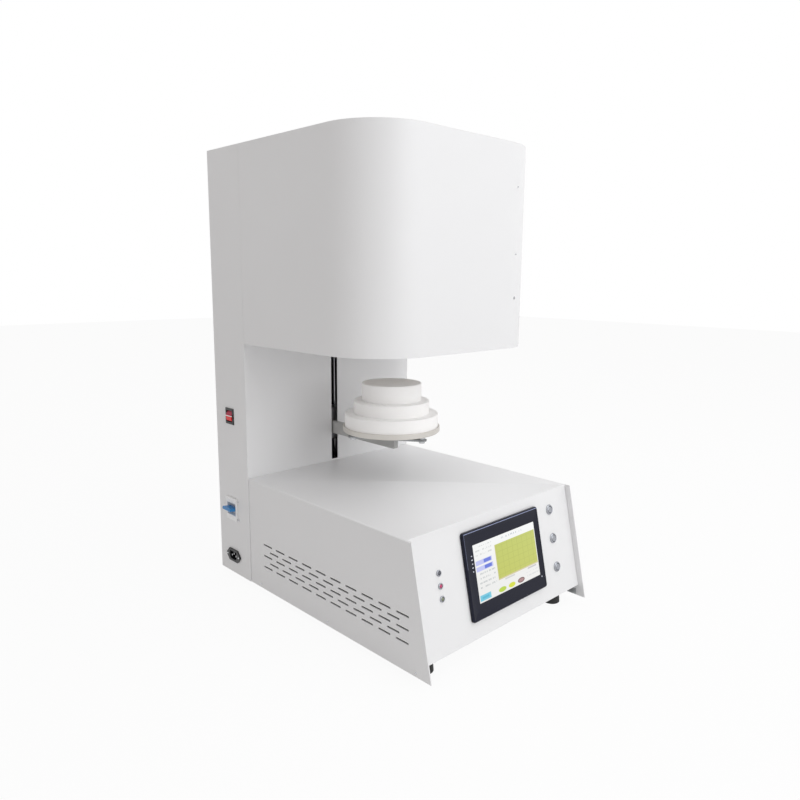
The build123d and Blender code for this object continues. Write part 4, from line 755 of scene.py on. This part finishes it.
def display_picture(name):
    """The lit picture: fields at the left, a plot, and touch buttons along the bottom."""
    material, tree, shader, place = begin(name)
    across, up = panel_places(tree, place, WINDOW_ACROSS, WINDOW_DOWN + WINDOW_H)
    u = sums(tree, "DIVIDE", across, WINDOW_W)
    v = sums(tree, "DIVIDE", up, WINDOW_H)
    picture = blended(tree, spread(tree, v, 0.2, 1.0), colour(240, 240, 238), colour(250, 251, 250))

    def paint(base, mask, tone, share=1.0):
        factor = mask if share == 1.0 else product(tree, mask, share)
        return blended(tree, factor, base, tone)

    def field(base, box, tone, share=1.0, soft=0.0035):
        return paint(base, rectangle(tree, u, v, box, soft), tone, share)

    def lines(base, box, tone, rows, share, dashes=26.0):
        """Short grey dashes in rows, like small illegible entries."""
        area = rectangle(tree, u, v, box, 0.002)
        row = spread(tree, waves(tree, v, rows * 2 * math.pi), 0.2, 0.6)
        noise = node(tree, "ShaderNodeTexNoise", {"noise_dimensions": "2D"}, Scale=1.0, Detail=0.0)
        apart = tree.nodes.new("ShaderNodeCombineXYZ")
        tree.links.new(product(tree, u, dashes * 2), apart.inputs[0])
        tree.links.new(product(tree, v, rows), apart.inputs[1])
        tree.links.new(apart.outputs[0], noise.inputs["Vector"])
        dash = spread(tree, noise.outputs["Fac"], 0.42, 0.55)
        return paint(base, product(tree, area, row, dash), tone, share)

    def oval(base, centre, half, tone, share=1.0):
        dx = sums(tree, "DIVIDE", sums(tree, "SUBTRACT", u, centre[0]), half[0])
        dy = sums(tree, "DIVIDE", sums(tree, "SUBTRACT", v, centre[1]), half[1])
        away = sums(tree, "ADD", product(tree, dx, dx), product(tree, dy, dy))
        return paint(base, spread(tree, away, 1.15, 0.8), tone, share)

    picture = lines(picture, (0.44, 0.80, 0.90, 0.965), colour(150, 164, 176), 12.0, 0.5)
    picture = lines(picture, (0.03, 0.28, 0.76, 0.95), colour(170, 178, 176), 14.0, 0.45)
    picture = lines(picture, (0.04, 0.29, 0.22, 0.50), colour(160, 168, 170), 13.0, 0.5)
    picture = field(picture, (0.015, 0.26, 0.635, 0.712), colour(196, 200, 246))
    picture = field(picture, (0.135, 0.245, 0.645, 0.705), colour(104, 122, 222))
    picture = field(picture, (0.015, 0.27, 0.53, 0.607), colour(198, 202, 247))
    picture = field(picture, (0.14, 0.25, 0.54, 0.60), colour(98, 118, 220))
    tone = blended(tree, spread(tree, v, 0.27, 0.86), colour(196, 202, 92), colour(196, 205, 100))
    plot = rectangle(tree, u, v, (0.325, 0.985, 0.262, 0.86), 0.003)
    picture = blended(tree, plot, picture, tone)
    for box in ((0.32, 0.99, 0.243, 0.262), (0.322, 0.33, 0.25, 0.86)):
        picture = field(picture, box, colour(208, 192, 130), 0.8)
    grid_u = spread(tree, waves(tree, u, 76.0), 0.93, 1.0)
    grid_v = spread(tree, waves(tree, v, 63.0), 0.93, 1.0)
    grid = product(tree, sums(tree, "MAXIMUM", grid_u, grid_v), plot)
    picture = paint(picture, grid, colour(176, 184, 84), 0.55)
    picture = field(picture, (0.42, 0.58, 0.205, 0.232), colour(176, 178, 180), 0.5)
    picture = field(picture, (0.80, 0.95, 0.205, 0.232), colour(168, 164, 170), 0.6)
    picture = field(picture, (0.015, 0.18, 0.03, 0.13), colour(116, 203, 226))
    picture = field(picture, (0.045, 0.15, 0.06, 0.10), colour(84, 184, 214))
    picture = oval(picture, (0.36, 0.07), (0.062, 0.042), colour(186, 212, 60))
    picture = oval(picture, (0.515, 0.07), (0.056, 0.042), colour(214, 222, 40))
    picture = oval(picture, (0.67, 0.075), (0.058, 0.044), colour(96, 42, 44))
    picture = oval(picture, (0.67, 0.075), (0.046, 0.03), colour(170, 132, 132))
    picture = lines(picture, (0.77, 0.98, 0.05, 0.16), colour(200, 204, 206), 14.0, 0.5)
    tree.links.new(picture, shader.inputs["Emission Color"])
    shader.inputs["Emission Strength"].default_value = 0.86
    dark = blended(tree, 0.06, (0.01, 0.01, 0.012, 1.0), picture)
    tree.links.new(dark, shader.inputs["Base Color"])
    shader.inputs["Roughness"].default_value = 0.22
    return material


def rocker_red(name):
    """Red moulding with painted light: the upper half painted darker and bluer as shade, a bright
    lower half, and a painted white highlight along the ridge between.
    """
    material, tree, shader, place = begin(name)
    looks = bpy.context.scene.furnace_looks
    group = place_effect(tree, shader, place, "Surface Grain", 0.01 * MM,
                         Colour=tuple(looks.rocker), Shade=darker(looks.rocker, 0.7), Tone=0.3,
                         Grain_Size=900.0, Roughness=0.22)
    low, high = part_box("switch_rocker")
    ridge = (low.z + high.z) / 2
    apart = tree.nodes.new("ShaderNodeSeparateXYZ")
    tree.links.new(place, apart.inputs[0])
    # Painted shade: the upper half of the one red moulding is drawn darker and bluer
    upper = spread(tree, apart.outputs["Z"], ridge - 0.2 * MM, ridge + 0.2 * MM)
    tone = blended(tree, upper, group.outputs["Colour"], colour(176, 18, 62))
    # Painted highlight: a thin white band along the ridge, where the ridge catches the light
    above = spread(tree, apart.outputs["Z"], ridge - 0.9 * MM, ridge - 0.6 * MM)
    below = spread(tree, apart.outputs["Z"], ridge + 1.2 * MM, ridge + 0.9 * MM)
    tone = blended(tree, product(tree, above, below), tone, colour(250, 246, 246))
    tree.links.new(tone, shader.inputs["Base Color"])
    shader.inputs["Specular IOR Level"].default_value = 0.3
    return material


# The pieces


class FURNACE_OT_cabinet(bpy.types.Operator):
    """Rounds the edges of the painted sheets and paints them"""

    bl_idname = "furnace.cabinet"
    bl_label = "Cabinet and hood"

    def execute(self, context):
        looks = context.scene.furnace_looks
        width = looks.sheet_edge
        paint = finish("painted_sheet")
        crease_y = on_panel(0, 0).y
        for node_name in ("column_left_side", "column_right_side", "column_front_panel",
                          "column_rear_cover", "top_cover", "hood_bottom_plate", "hood_wrap"):
            sheet = eased(node_name, width)
            settle(sheet, node_name + "_painted", "case", paint, [node_name])

        # The base is one folded shell: its top runs into the control panel with no seam
        top = at(0, 0, PANEL_TOP_Z).z

        def crease(edge):
            place = middle(edge)
            near = abs(place.y - crease_y) < 3 * MM and place.z > top - 3 * MM
            return near and along(edge, 0)

        shell = merged_copy("base_shell")
        rounded(shell, width, spare=crease, bends=50.0)
        settle(shell, "base_shell_painted", "case", paint, ["base_shell"])

        def under_crease(edge):
            return middle(edge).z > top - 4.5 * MM

        panel = eased("front_panel", width, spare=under_crease)
        settle(panel, "control_panel_painted", "case", paint, ["front_panel"])
        pan = eased("floor_plate", width)
        settle(pan, "floor_pan", "case", finish("bare_sheet"), ["floor_plate"])
        return {"FINISHED"}


class FURNACE_OT_screen(bpy.types.Operator):
    """Models the touch screen: moulding with its rear housing, and the lit window"""

    bl_idname = "furnace.screen"
    bl_label = "Touch screen"

    def execute(self, context):
        frame_piece = block((FRAME_W, FRAME_H, FRAME_OUT), (0, 0, FRAME_OUT / 2))
        shape(frame_piece)
        choose("EDGE", lambda e: along(e, 2))
        bpy.ops.mesh.bevel(offset=FRAME_CORNER * MM, segments=7, affect="EDGES")
        choose("EDGE", lambda e: all(v.co.z > (FRAME_OUT - 0.1) * MM for v in e.verts))
        bpy.ops.mesh.bevel(offset=FRAME_CHAMFER * MM, segments=1, affect="EDGES")
        front = (FRAME_OUT - 0.1) * MM
        choose("FACE", lambda f: f.calc_center_median().z > front)
        # A shallow step carries the membrane over the face
        bpy.ops.mesh.inset(thickness=1.5 * MM, depth=0)
        bpy.ops.mesh.inset(thickness=0.6 * MM, depth=-MEMBRANE_DROP * MM)
        membrane = (FRAME_OUT - MEMBRANE_DROP) * MM
        left = (-FRAME_W / 2 + WINDOW_LEFT) * MM
        top = (FRAME_H / 2 - WINDOW_TOP) * MM
        cuts = (
            ((left, 0, 0), (1, 0, 0)),
            ((left + WINDOW_W * MM, 0, 0), (1, 0, 0)),
            ((0, top, 0), (0, 1, 0)),
            ((0, top - WINDOW_H * MM, 0), (0, 1, 0)),
        )
        for place, normal in cuts:
            choose("FACE", lambda f: abs(f.calc_center_median().z - membrane) < 0.05 * MM
                   and f.normal.z > 0.9)
            bpy.ops.mesh.bisect(plane_co=place, plane_no=normal)

        def in_window(face):
            centre = face.calc_center_median()
            across = left < centre.x < left + WINDOW_W * MM
            upright = top - WINDOW_H * MM < centre.y < top
            return across and upright and abs(centre.z - membrane) < 0.05 * MM

        choose("FACE", in_window)
        bpy.ops.mesh.inset(thickness=0.5 * MM, depth=-0.5 * MM)
        bpy.ops.mesh.extrude_region_move(TRANSFORM_OT_translate={"value": (0, 0, -1.0 * MM)})
        choose("FACE", lambda f: f.normal.z < -0.9)
        bpy.ops.mesh.inset(thickness=HOUSING_INSET * MM, depth=0)
        back = {"value": (0, 0, -HOUSING_DEPTH * MM)}
        bpy.ops.mesh.extrude_region_move(TRANSFORM_OT_translate=back)
        put_down()
        modify(frame_piece, "BEVEL", width=0.25 * MM, segments=2, limit_method="ANGLE",
               angle_limit=math.radians(30), use_clamp_overlap=True)
        centre = on_panel(SCREEN_ACROSS, SCREEN_DOWN + FRAME_H / 2)
        stand(frame_piece, centre, PANEL_TURN)
        smooth(frame_piece, 40)
        settle(frame_piece, "screen_moulding", "case", finish("screen_frame"),
               ["screen_housing"])

        glass = block((WINDOW_W - 1.1, WINDOW_H - 1.1, 1.0), (0, 0, 0.5))
        shape(glass)
        choose("FACE", lambda f: f.normal.z > 0.9)
        bpy.ops.mesh.inset(thickness=0.8 * MM, depth=0)
        bpy.ops.transform.translate(value=(0, 0, 0.15 * MM))
        choose("EDGE", lambda e: along(e, 2))
        bpy.ops.mesh.bevel(offset=0.4 * MM, segments=2, affect="EDGES")
        put_down()
        middle_down = WINDOW_DOWN + WINDOW_H / 2
        centre = on_panel(WINDOW_ACROSS + WINDOW_W / 2, middle_down, FRAME_OUT - 2.0)
        stand(glass, centre, PANEL_TURN)
        smooth(glass)
        settle(glass, "screen_window", "case", finish("screen_glass"),
               ["screen_glass"])
        return {"FINISHED"}


def column_of(piece, across, downs):
    """Copies of a piece one below the other on the control panel, joined to one piece."""
    copies = [piece] + [copy_of(piece) for _ in downs[1:]]
    for each, down in zip(copies, downs):
        stand(each, on_panel(across, down), PANEL_TURN)
    rings = join(copies)
    smooth(rings)
    return rings


# Lamps and buttons on the control panel, from the top down
ROW_NAMES = ("top", "middle", "bottom")
LAMP_ACROSS = -152.0
LAMP_DOWNS = (64.7, 84.7, 104.7)
LAMP_TONES = (colour(78, 80, 92), colour(196, 22, 98), colour(122, 130, 104))


class FURNACE_OT_lamps(bpy.types.Operator):
    """Models the three indicator lamps: chrome holders with domed lenses"""

    bl_idname = "furnace.lamps"
    bl_label = "Indicator lamps"

    def execute(self, context):
        profile = [(3.1, -3.0), (4.0, -12.0), (4.0, 0.0), (5.0, 0.0), (5.0, 1.2)]
        profile += arc((4.3, 1.2), 0.7, 12, 90, 4) + [(3.6, 1.9)]
        profile += arc((3.5, 1.6), 0.3, 100, 170, 2) + [(3.15, 0.6), (3.1, -2.9)]
        rings = column_of(turned(profile, 40), LAMP_ACROSS, LAMP_DOWNS)
        settle(rings, "lamp_rings", "case", finish("chrome"), ["indicator_bezels"])
        dome = [(2.9, -3.0), (2.9, 0.9)] + arc((0.9, -0.1), 2.2, 32, 86, 6) + [(0.02, 2.12)]
        for down, tone, name in zip(LAMP_DOWNS, LAMP_TONES, ROW_NAMES):
            lens = turned(dome, 32)
            stand(lens, on_panel(LAMP_ACROSS, down), PANEL_TURN)
            smooth(lens, 50)
            stands_for = ["indicator_lenses"] if name == "top" else []
            settle(lens, "lamp_lens_" + name, "case", lens_glass("lens " + name, tone),
                   stands_for)
        return {"FINISHED"}


BUTTON_ACROSS = 146.8
BUTTON_DOWNS = (34.3, 86.7, 139.1)


class FURNACE_OT_buttons(bpy.types.Operator):
    """Models the three push buttons: chrome collars with domed caps that press in"""

    bl_idname = "furnace.buttons"
    bl_label = "Push buttons"

    def execute(self, context):
        profile = [(6.2, -8.5), (7.9, -22.0), (7.9, 0.0), (9.0, 0.0), (9.0, 1.0)]
        profile += arc((8.0, 1.0), 1.0, 10, 80, 4) + arc((7.2, 2.2), 0.8, 70, 170, 5)
        profile += [(6.2, 1.4), (6.2, -8.4)]
        rings = column_of(turned(profile, 56), BUTTON_ACROSS, BUTTON_DOWNS)
        settle(rings, "button_collars", "case", finish("chrome"), ["button_bodies"])
        outline = [(5.8, -5.5), (5.8, 2.0)] + arc((4.6, 2.0), 1.2, 15, 75, 4)
        outline += [(3.4, 3.42), (0.02, 3.5)]
        for name, down in zip(ROW_NAMES, BUTTON_DOWNS):
            cap = turned(outline, 48)
            stand(cap, on_panel(BUTTON_ACROSS, down), PANEL_TURN)
            smooth(cap)
            settle(cap, "button_face_" + name, "button_" + name, finish("chrome"),
                   ["button_cap_" + name])
        return {"FINISHED"}


class FURNACE_OT_side_controls(bpy.types.Operator):
    """Rounds and colours the rocker switch, the breaker and the power inlet on the left side"""

    bl_idname = "furnace.side_controls"
    bl_label = "Switch, breaker and inlet"

    def execute(self, context):
        pieces = (
            ("switch_bezel", 0.9, 3, "case", "black_plastic"),
            ("switch_rocker", 0.5, 3, "rocker", "red_plastic"),
            ("breaker_body", 0.7, 3, "case", "white_plastic"),
            ("breaker_toggle", 0.6, 3, "toggle", "blue_plastic"),
            ("inlet_body", 0.8, 3, "case", "black_plastic"),
            ("inlet_pins", 0.25, 2, "case", "ground_steel"),
        )
        for node_name, width, steps, body, slot in pieces:
            piece = eased(node_name, width * MM, steps)
            settle(piece, node_name + "_moulded", body, finish(slot), [node_name])
        return {"FINISHED"}


# The tray, and the hearth's tiers: name, radius, underside and top
TRAY_RADIUS = 91.5
TRAY_BOTTOM = 312.0
TRAY_TOP = 322.0
TIERS = (("lower", 88.0, 315.0, 346.0), ("middle", 71.0, 346.0, 370.0),
         ("upper", 56.0, 370.0, 403.0))


class FURNACE_OT_hearth(bpy.types.Operator):
    """Turns the three fibre tiers of the hearth with soft edges, and the tray under them"""

    bl_idname = "furnace.hearth"
    bl_label = "Hearth and tray"

    def execute(self, context):
        edge = context.scene.furnace_looks.hearth_edge / MM
        for name, radius, low, high in TIERS:
            profile = [(radius - 0.8, low), (radius, low + 0.8), (radius, (low + high) / 2)]
            profile += arc((radius - edge, high - edge), edge, 0, 90, 6)
            tier = turned(profile, 128)
            stand(tier, at(0, HEARTH_Y, 0))
            smooth(tier)
            settle(tier, "hearth_tier_" + name, "lift", finish("hearth_fibre"),
                   ["hearth_" + name])
        profile = [(TRAY_RADIUS - 1.2, TRAY_BOTTOM), (TRAY_RADIUS, TRAY_BOTTOM + 1.2),
                   (TRAY_RADIUS, TRAY_TOP - 1.2)]
        profile += arc((TRAY_RADIUS - 1.0, TRAY_TOP - 1.0), 1.0, 10, 90, 4)
        profile += [(TRAY_RADIUS - 2.0, TRAY_TOP)]
        profile += [(88.6, TRAY_TOP - 0.8), (88.5, 316.5), (88.0, 315.0)]
        tray = turned(profile, 128)
        stand(tray, at(0, HEARTH_Y, 0))
        smooth(tray)
        satin = grained("tray satin", colour(214, 210, 204), 0.42, 700.0, 0.02 * MM, 0.3,
                        metal=0.35)
        settle(tray, "hearth_dish", "lift", satin, ["hearth_tray"])
        return {"FINISHED"}


class FURNACE_OT_mechanism(bpy.types.Operator):
    """Rounds the edges of the lift's arm, bracket and studs, the fan and the feet"""

    bl_idname = "furnace.mechanism"
    bl_label = "Lift, fan and feet"

    def execute(self, context):
        pieces = (("lift_arm", 0.8, 3), ("arm_bracket", 0.5, 2), ("tray_studs", 0.5, 3),
                  ("lift_carriage", 0.8, 2), ("rubber_feet", 1.2, 3), ("fan_frame", 0.5, 2),
                  ("fan_rotor", 0.2, 1), ("fan_guard", 0.35, 2), ("furnace_casing", 0.4, 2))
        for node_name, width, steps in pieces:
            piece = eased(node_name, width * MM, steps)
            slot = slot_of(node_name)
            material = finish(slot)
            if node_name == "lift_arm":
                material = grained("arm satin", colour(188, 188, 186), 0.4, 800.0, 0.02 * MM, 0.3,
                                   metal=0.3)
            settle(piece, node_name + "_worked", body_of(node_name), material, [node_name])
        return {"FINISHED"}


def islands(mesh):
    """The loose parts of a bmesh, each as its faces."""
    left = set(mesh.faces)
    groups = []
    while left:
        front = [left.pop()]
        group = list(front)
        while front:
            face = front.pop()
            for edge in face.edges:
                for other in edge.link_faces:
                    if other in left:
                        left.remove(other)
                        front.append(other)
                        group.append(other)
        groups.append(group)
    return groups


# Points of a screw below its head are moved to the end of its shank
HEAD_DEPTH = 2.0


class FURNACE_OT_screws(bpy.types.Operator):
    """Models one pan-head screw with a cross recess and copies it to every screw's place"""

    bl_idname = "furnace.screws"
    bl_label = "Screws"

    def execute(self, context):
        source = merged_copy("case_screws")
        mesh = bmesh.new()
        mesh.from_mesh(source.data)
        places = []
        for group in islands(mesh):
            head = max(group, key=lambda f: f.calc_area())
            normal = head.normal.normalized()
            points = [v.co for f in group for v in f.verts]
            centre = sum(points, Vector()) / len(points)
            top = max(p.dot(normal) for p in points)
            low = min(p.dot(normal) for p in points)
            face = head.calc_center_median()
            places.append((face + normal * (top - face.dot(normal)), normal, top - low))
            if (face - centre).dot(normal) <= 0:
                raise RuntimeError("a screw's head isn't its largest face")
        mesh.free()
        put_down()
        bpy.data.objects.remove(source)
        model = self.screw()
        screws = []
        for place, normal, length in places:
            screw = copy_of(model)
            for vertex in screw.data.vertices:
                if vertex.co.z < -HEAD_DEPTH * MM:
                    vertex.co.z = -length
            stand(screw, place, normal.to_track_quat("Z", "Y").to_euler())
            screws.append(screw)
        bpy.data.objects.remove(model)
        piece = join(screws)
        slot = slot_of("case_screws")
        settle(piece, "pan_head_screws", "case", finish(slot), ["case_screws"])
        return {"FINISHED"}

    def screw(self):
        """One screw, the top of its head at the origin and its shank downwards."""
        profile = [(1.4, -8.0), (1.5, -7.6), (1.5, -1.2), (2.8, -1.2), (2.8, -0.75)]
        profile += arc((2.1, -0.7), 0.7, 20, 80, 3) + [(0.9, 0.0)]
        screw = turned(profile, 24)
        smooth(screw, 40)
        for size in ((2.9, 0.55, 1.4), (0.55, 2.9, 1.4)):
            blade = block(size)
            modify(screw, "BOOLEAN", operation="DIFFERENCE", object=blade, solver="EXACT")
            bpy.data.objects.remove(blade)
        return screw


class FURNACE_OT_inner_parts(bpy.types.Operator):
    """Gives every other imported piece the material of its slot"""

    bl_idname = "furnace.inner_parts"
    bl_label = "Inner parts"

    def execute(self, context):
        for name, piece in frame["nodes"].items():
            material = finish(slot_of(name))
            if not piece.material_slots:
                piece.data.materials.append(material)
            for material_slot in piece.material_slots:
                material_slot.material = material
        return {"FINISHED"}


# Studio


# The two lamps in metres, what they shine at and their cool white, and the room's warm white
KEY_PLACE = (0.9, -1.2, 3.0)
KEY_SIZE = 2.6
FRONT_PLACE = (0.35, -2.75, 1.55)
FRONT_SIZE = 2.2
LAMP_TARGET = (0, -0.1, 0.35)
LAMP_TONE = (0.965, 0.985, 1.0)
ROOM_TONE = (1.0, 0.975, 0.96, 1)
WHITE = (1.0, 1.0, 1.0, 1)
# How much of the floor is plain white to the camera; the rest takes light and shadow
FLOOR_WHITE = 0.93
# The camera's place on the drawing, its yaw, pitch and roll in degrees, and its sensor
CAMERA_PLACE = (-886.1, -1112.5, 599.3)
CAMERA_TURN = (-44.0, -10.1, 0.5)
SENSOR_WIDTH = 36.0


def seen_rays(tree):
    """1 for what the camera sees, straight or in gloss and glass, and 0 for light."""
    light = tree.nodes.new("ShaderNodeLightPath")
    seen = sums(tree, "MAXIMUM", light.outputs["Is Camera Ray"], light.outputs["Is Glossy Ray"])
    return sums(tree, "MAXIMUM", seen, light.outputs["Is Transmission Ray"])


class FURNACE_OT_studio(bpy.types.Operator):
    """Sets the floor, the soft lamps, the surroundings and the camera"""

    bl_idname = "furnace.studio"
    bl_label = "Studio"

    def execute(self, context):
        studio = context.scene.furnace_studio
        self.floor(studio)
        self.surroundings(studio)
        self.lamp("key_lamp", KEY_PLACE, KEY_SIZE, studio.key_light)
        self.lamp("front_lamp", FRONT_PLACE, FRONT_SIZE, studio.front_light)
        self.camera(studio)
        return {"FINISHED"}

    def floor(self, studio):
        """A plain pale floor that keeps the furnace's shadow."""
        put_down()
        bpy.ops.mesh.primitive_grid_add(x_subdivisions=8, y_subdivisions=8, size=studio.floor_size)
        floor = bpy.context.object
        floor.name = "studio_floor"
        material = bpy.data.materials.new("studio floor")
        material.use_nodes = True
        tree = material.node_tree
        shader = next(n for n in tree.nodes if n.type == "BSDF_PRINCIPLED")
        shader.inputs["Base Color"].default_value = (0.82, 0.82, 0.82, 1)
        shader.inputs["Roughness"].default_value = 0.9
        shader.inputs["Specular IOR Level"].default_value = 0.0
        glow = node(tree, "ShaderNodeEmission", None, Color=WHITE, Strength=1.0)
        mix = tree.nodes.new("ShaderNodeMixShader")
        tree.links.new(product(tree, seen_rays(tree), FLOOR_WHITE), mix.inputs[0])
        tree.links.new(shader.outputs[0], mix.inputs[1])
        tree.links.new(glow.outputs[0], mix.inputs[2])
        end = next(n for n in tree.nodes if n.type == "OUTPUT_MATERIAL")
        tree.links.new(mix.outputs[0], end.inputs["Surface"])
        floor.data.materials.append(material)

    def surroundings(self, studio):
        """Soft light from all round, and plain white behind the furnace."""
        world = bpy.data.worlds.new("studio")
        bpy.context.scene.world = world
        world.use_nodes = True
        tree = world.node_tree
        seen = seen_rays(tree)
        background = next(n for n in tree.nodes if n.type == "BACKGROUND")
        tree.links.new(blended(tree, seen, ROOM_TONE, WHITE), background.inputs["Color"])
        strength = spread(tree, seen, 0.0, 1.0, studio.room_light, 1.0)
        tree.links.new(strength, background.inputs["Strength"])

    def lamp(self, name, place, size, power):
        """A square lamp that shines at the hearth."""
        data = bpy.data.lights.new(name, "AREA")
        data.shape = "SQUARE"
        data.size = size
        data.energy = power
        data.color = LAMP_TONE
        lamp = bpy.data.objects.new(name, data)
        bpy.context.scene.collection.objects.link(lamp)
        lamp.location = place
        aim = Vector(LAMP_TARGET) - Vector(place)
        lamp.rotation_euler = aim.to_track_quat("-Z", "Y").to_euler()

    def camera(self, studio):
        """The photograph's viewing angle."""
        yaw, pitch, roll = (math.radians(angle) for angle in CAMERA_TURN)
        forward = Vector((-math.sin(yaw) * math.cos(pitch), math.cos(yaw) * math.cos(pitch),
                          math.sin(pitch)))
        right = Vector((math.cos(yaw), math.sin(yaw), 0))
        upward = right.cross(forward)
        across = right * math.cos(roll) + upward * math.sin(roll)
        rise = upward * math.cos(roll) - right * math.sin(roll)
        data = bpy.data.cameras.new("camera")
        data.lens = studio.lens
        data.sensor_width = SENSOR_WIDTH
        data.sensor_fit = "HORIZONTAL"
        camera = bpy.data.objects.new("camera", data)
        bpy.context.scene.collection.objects.link(camera)
        turn = Matrix((across, rise, -forward)).transposed().to_4x4()
        camera.matrix_world = Matrix.Translation(at(*CAMERA_PLACE)) @ turn
        bpy.context.scene.camera = camera
        bpy.context.scene.view_settings.view_transform = "Standard"


# Panel, registration and run

PIECES = ("cabinet", "screen", "lamps", "buttons", "side_controls", "hearth", "mechanism", "screws",
          "inner_parts", "studio")


class FURNACE_PT_panel(bpy.types.Panel):
    """Lists the pieces of the furnace and their colours"""

    bl_label = "Dental furnace"
    bl_idname = "FURNACE_PT_panel"
    bl_space_type = "VIEW_3D"
    bl_region_type = "UI"
    bl_category = "Furnace"

    def draw(self, context):
        column = self.layout.column()
        for group in (context.scene.furnace_looks, context.scene.furnace_studio):
            for name in group.bl_rna.properties.keys():
                if name not in {"rna_type", "name"}:
                    column.prop(group, name)
        for piece in PIECES:
            column.operator("furnace." + piece)


CLASSES = (
    FurnaceLooks, FurnaceStudio, FURNACE_OT_cabinet, FURNACE_OT_screen, FURNACE_OT_lamps,
    FURNACE_OT_buttons, FURNACE_OT_side_controls, FURNACE_OT_hearth, FURNACE_OT_mechanism,
    FURNACE_OT_screws, FURNACE_OT_inner_parts, FURNACE_OT_studio, FURNACE_PT_panel,
)


def register():
    for item in CLASSES:
        bpy.utils.register_class(item)
    bpy.types.Scene.furnace_looks = PointerProperty(type=FurnaceLooks)
    bpy.types.Scene.furnace_studio = PointerProperty(type=FurnaceStudio)


def unregister():
    del bpy.types.Scene.furnace_studio
    del bpy.types.Scene.furnace_looks
    for item in reversed(CLASSES):
        bpy.utils.unregister_class(item)


def main():
    """Makes every piece in order."""
    register()
    for piece in PIECES:
        getattr(bpy.ops.furnace, piece)()
    put_down()


if __name__ == "__main__":
    main()
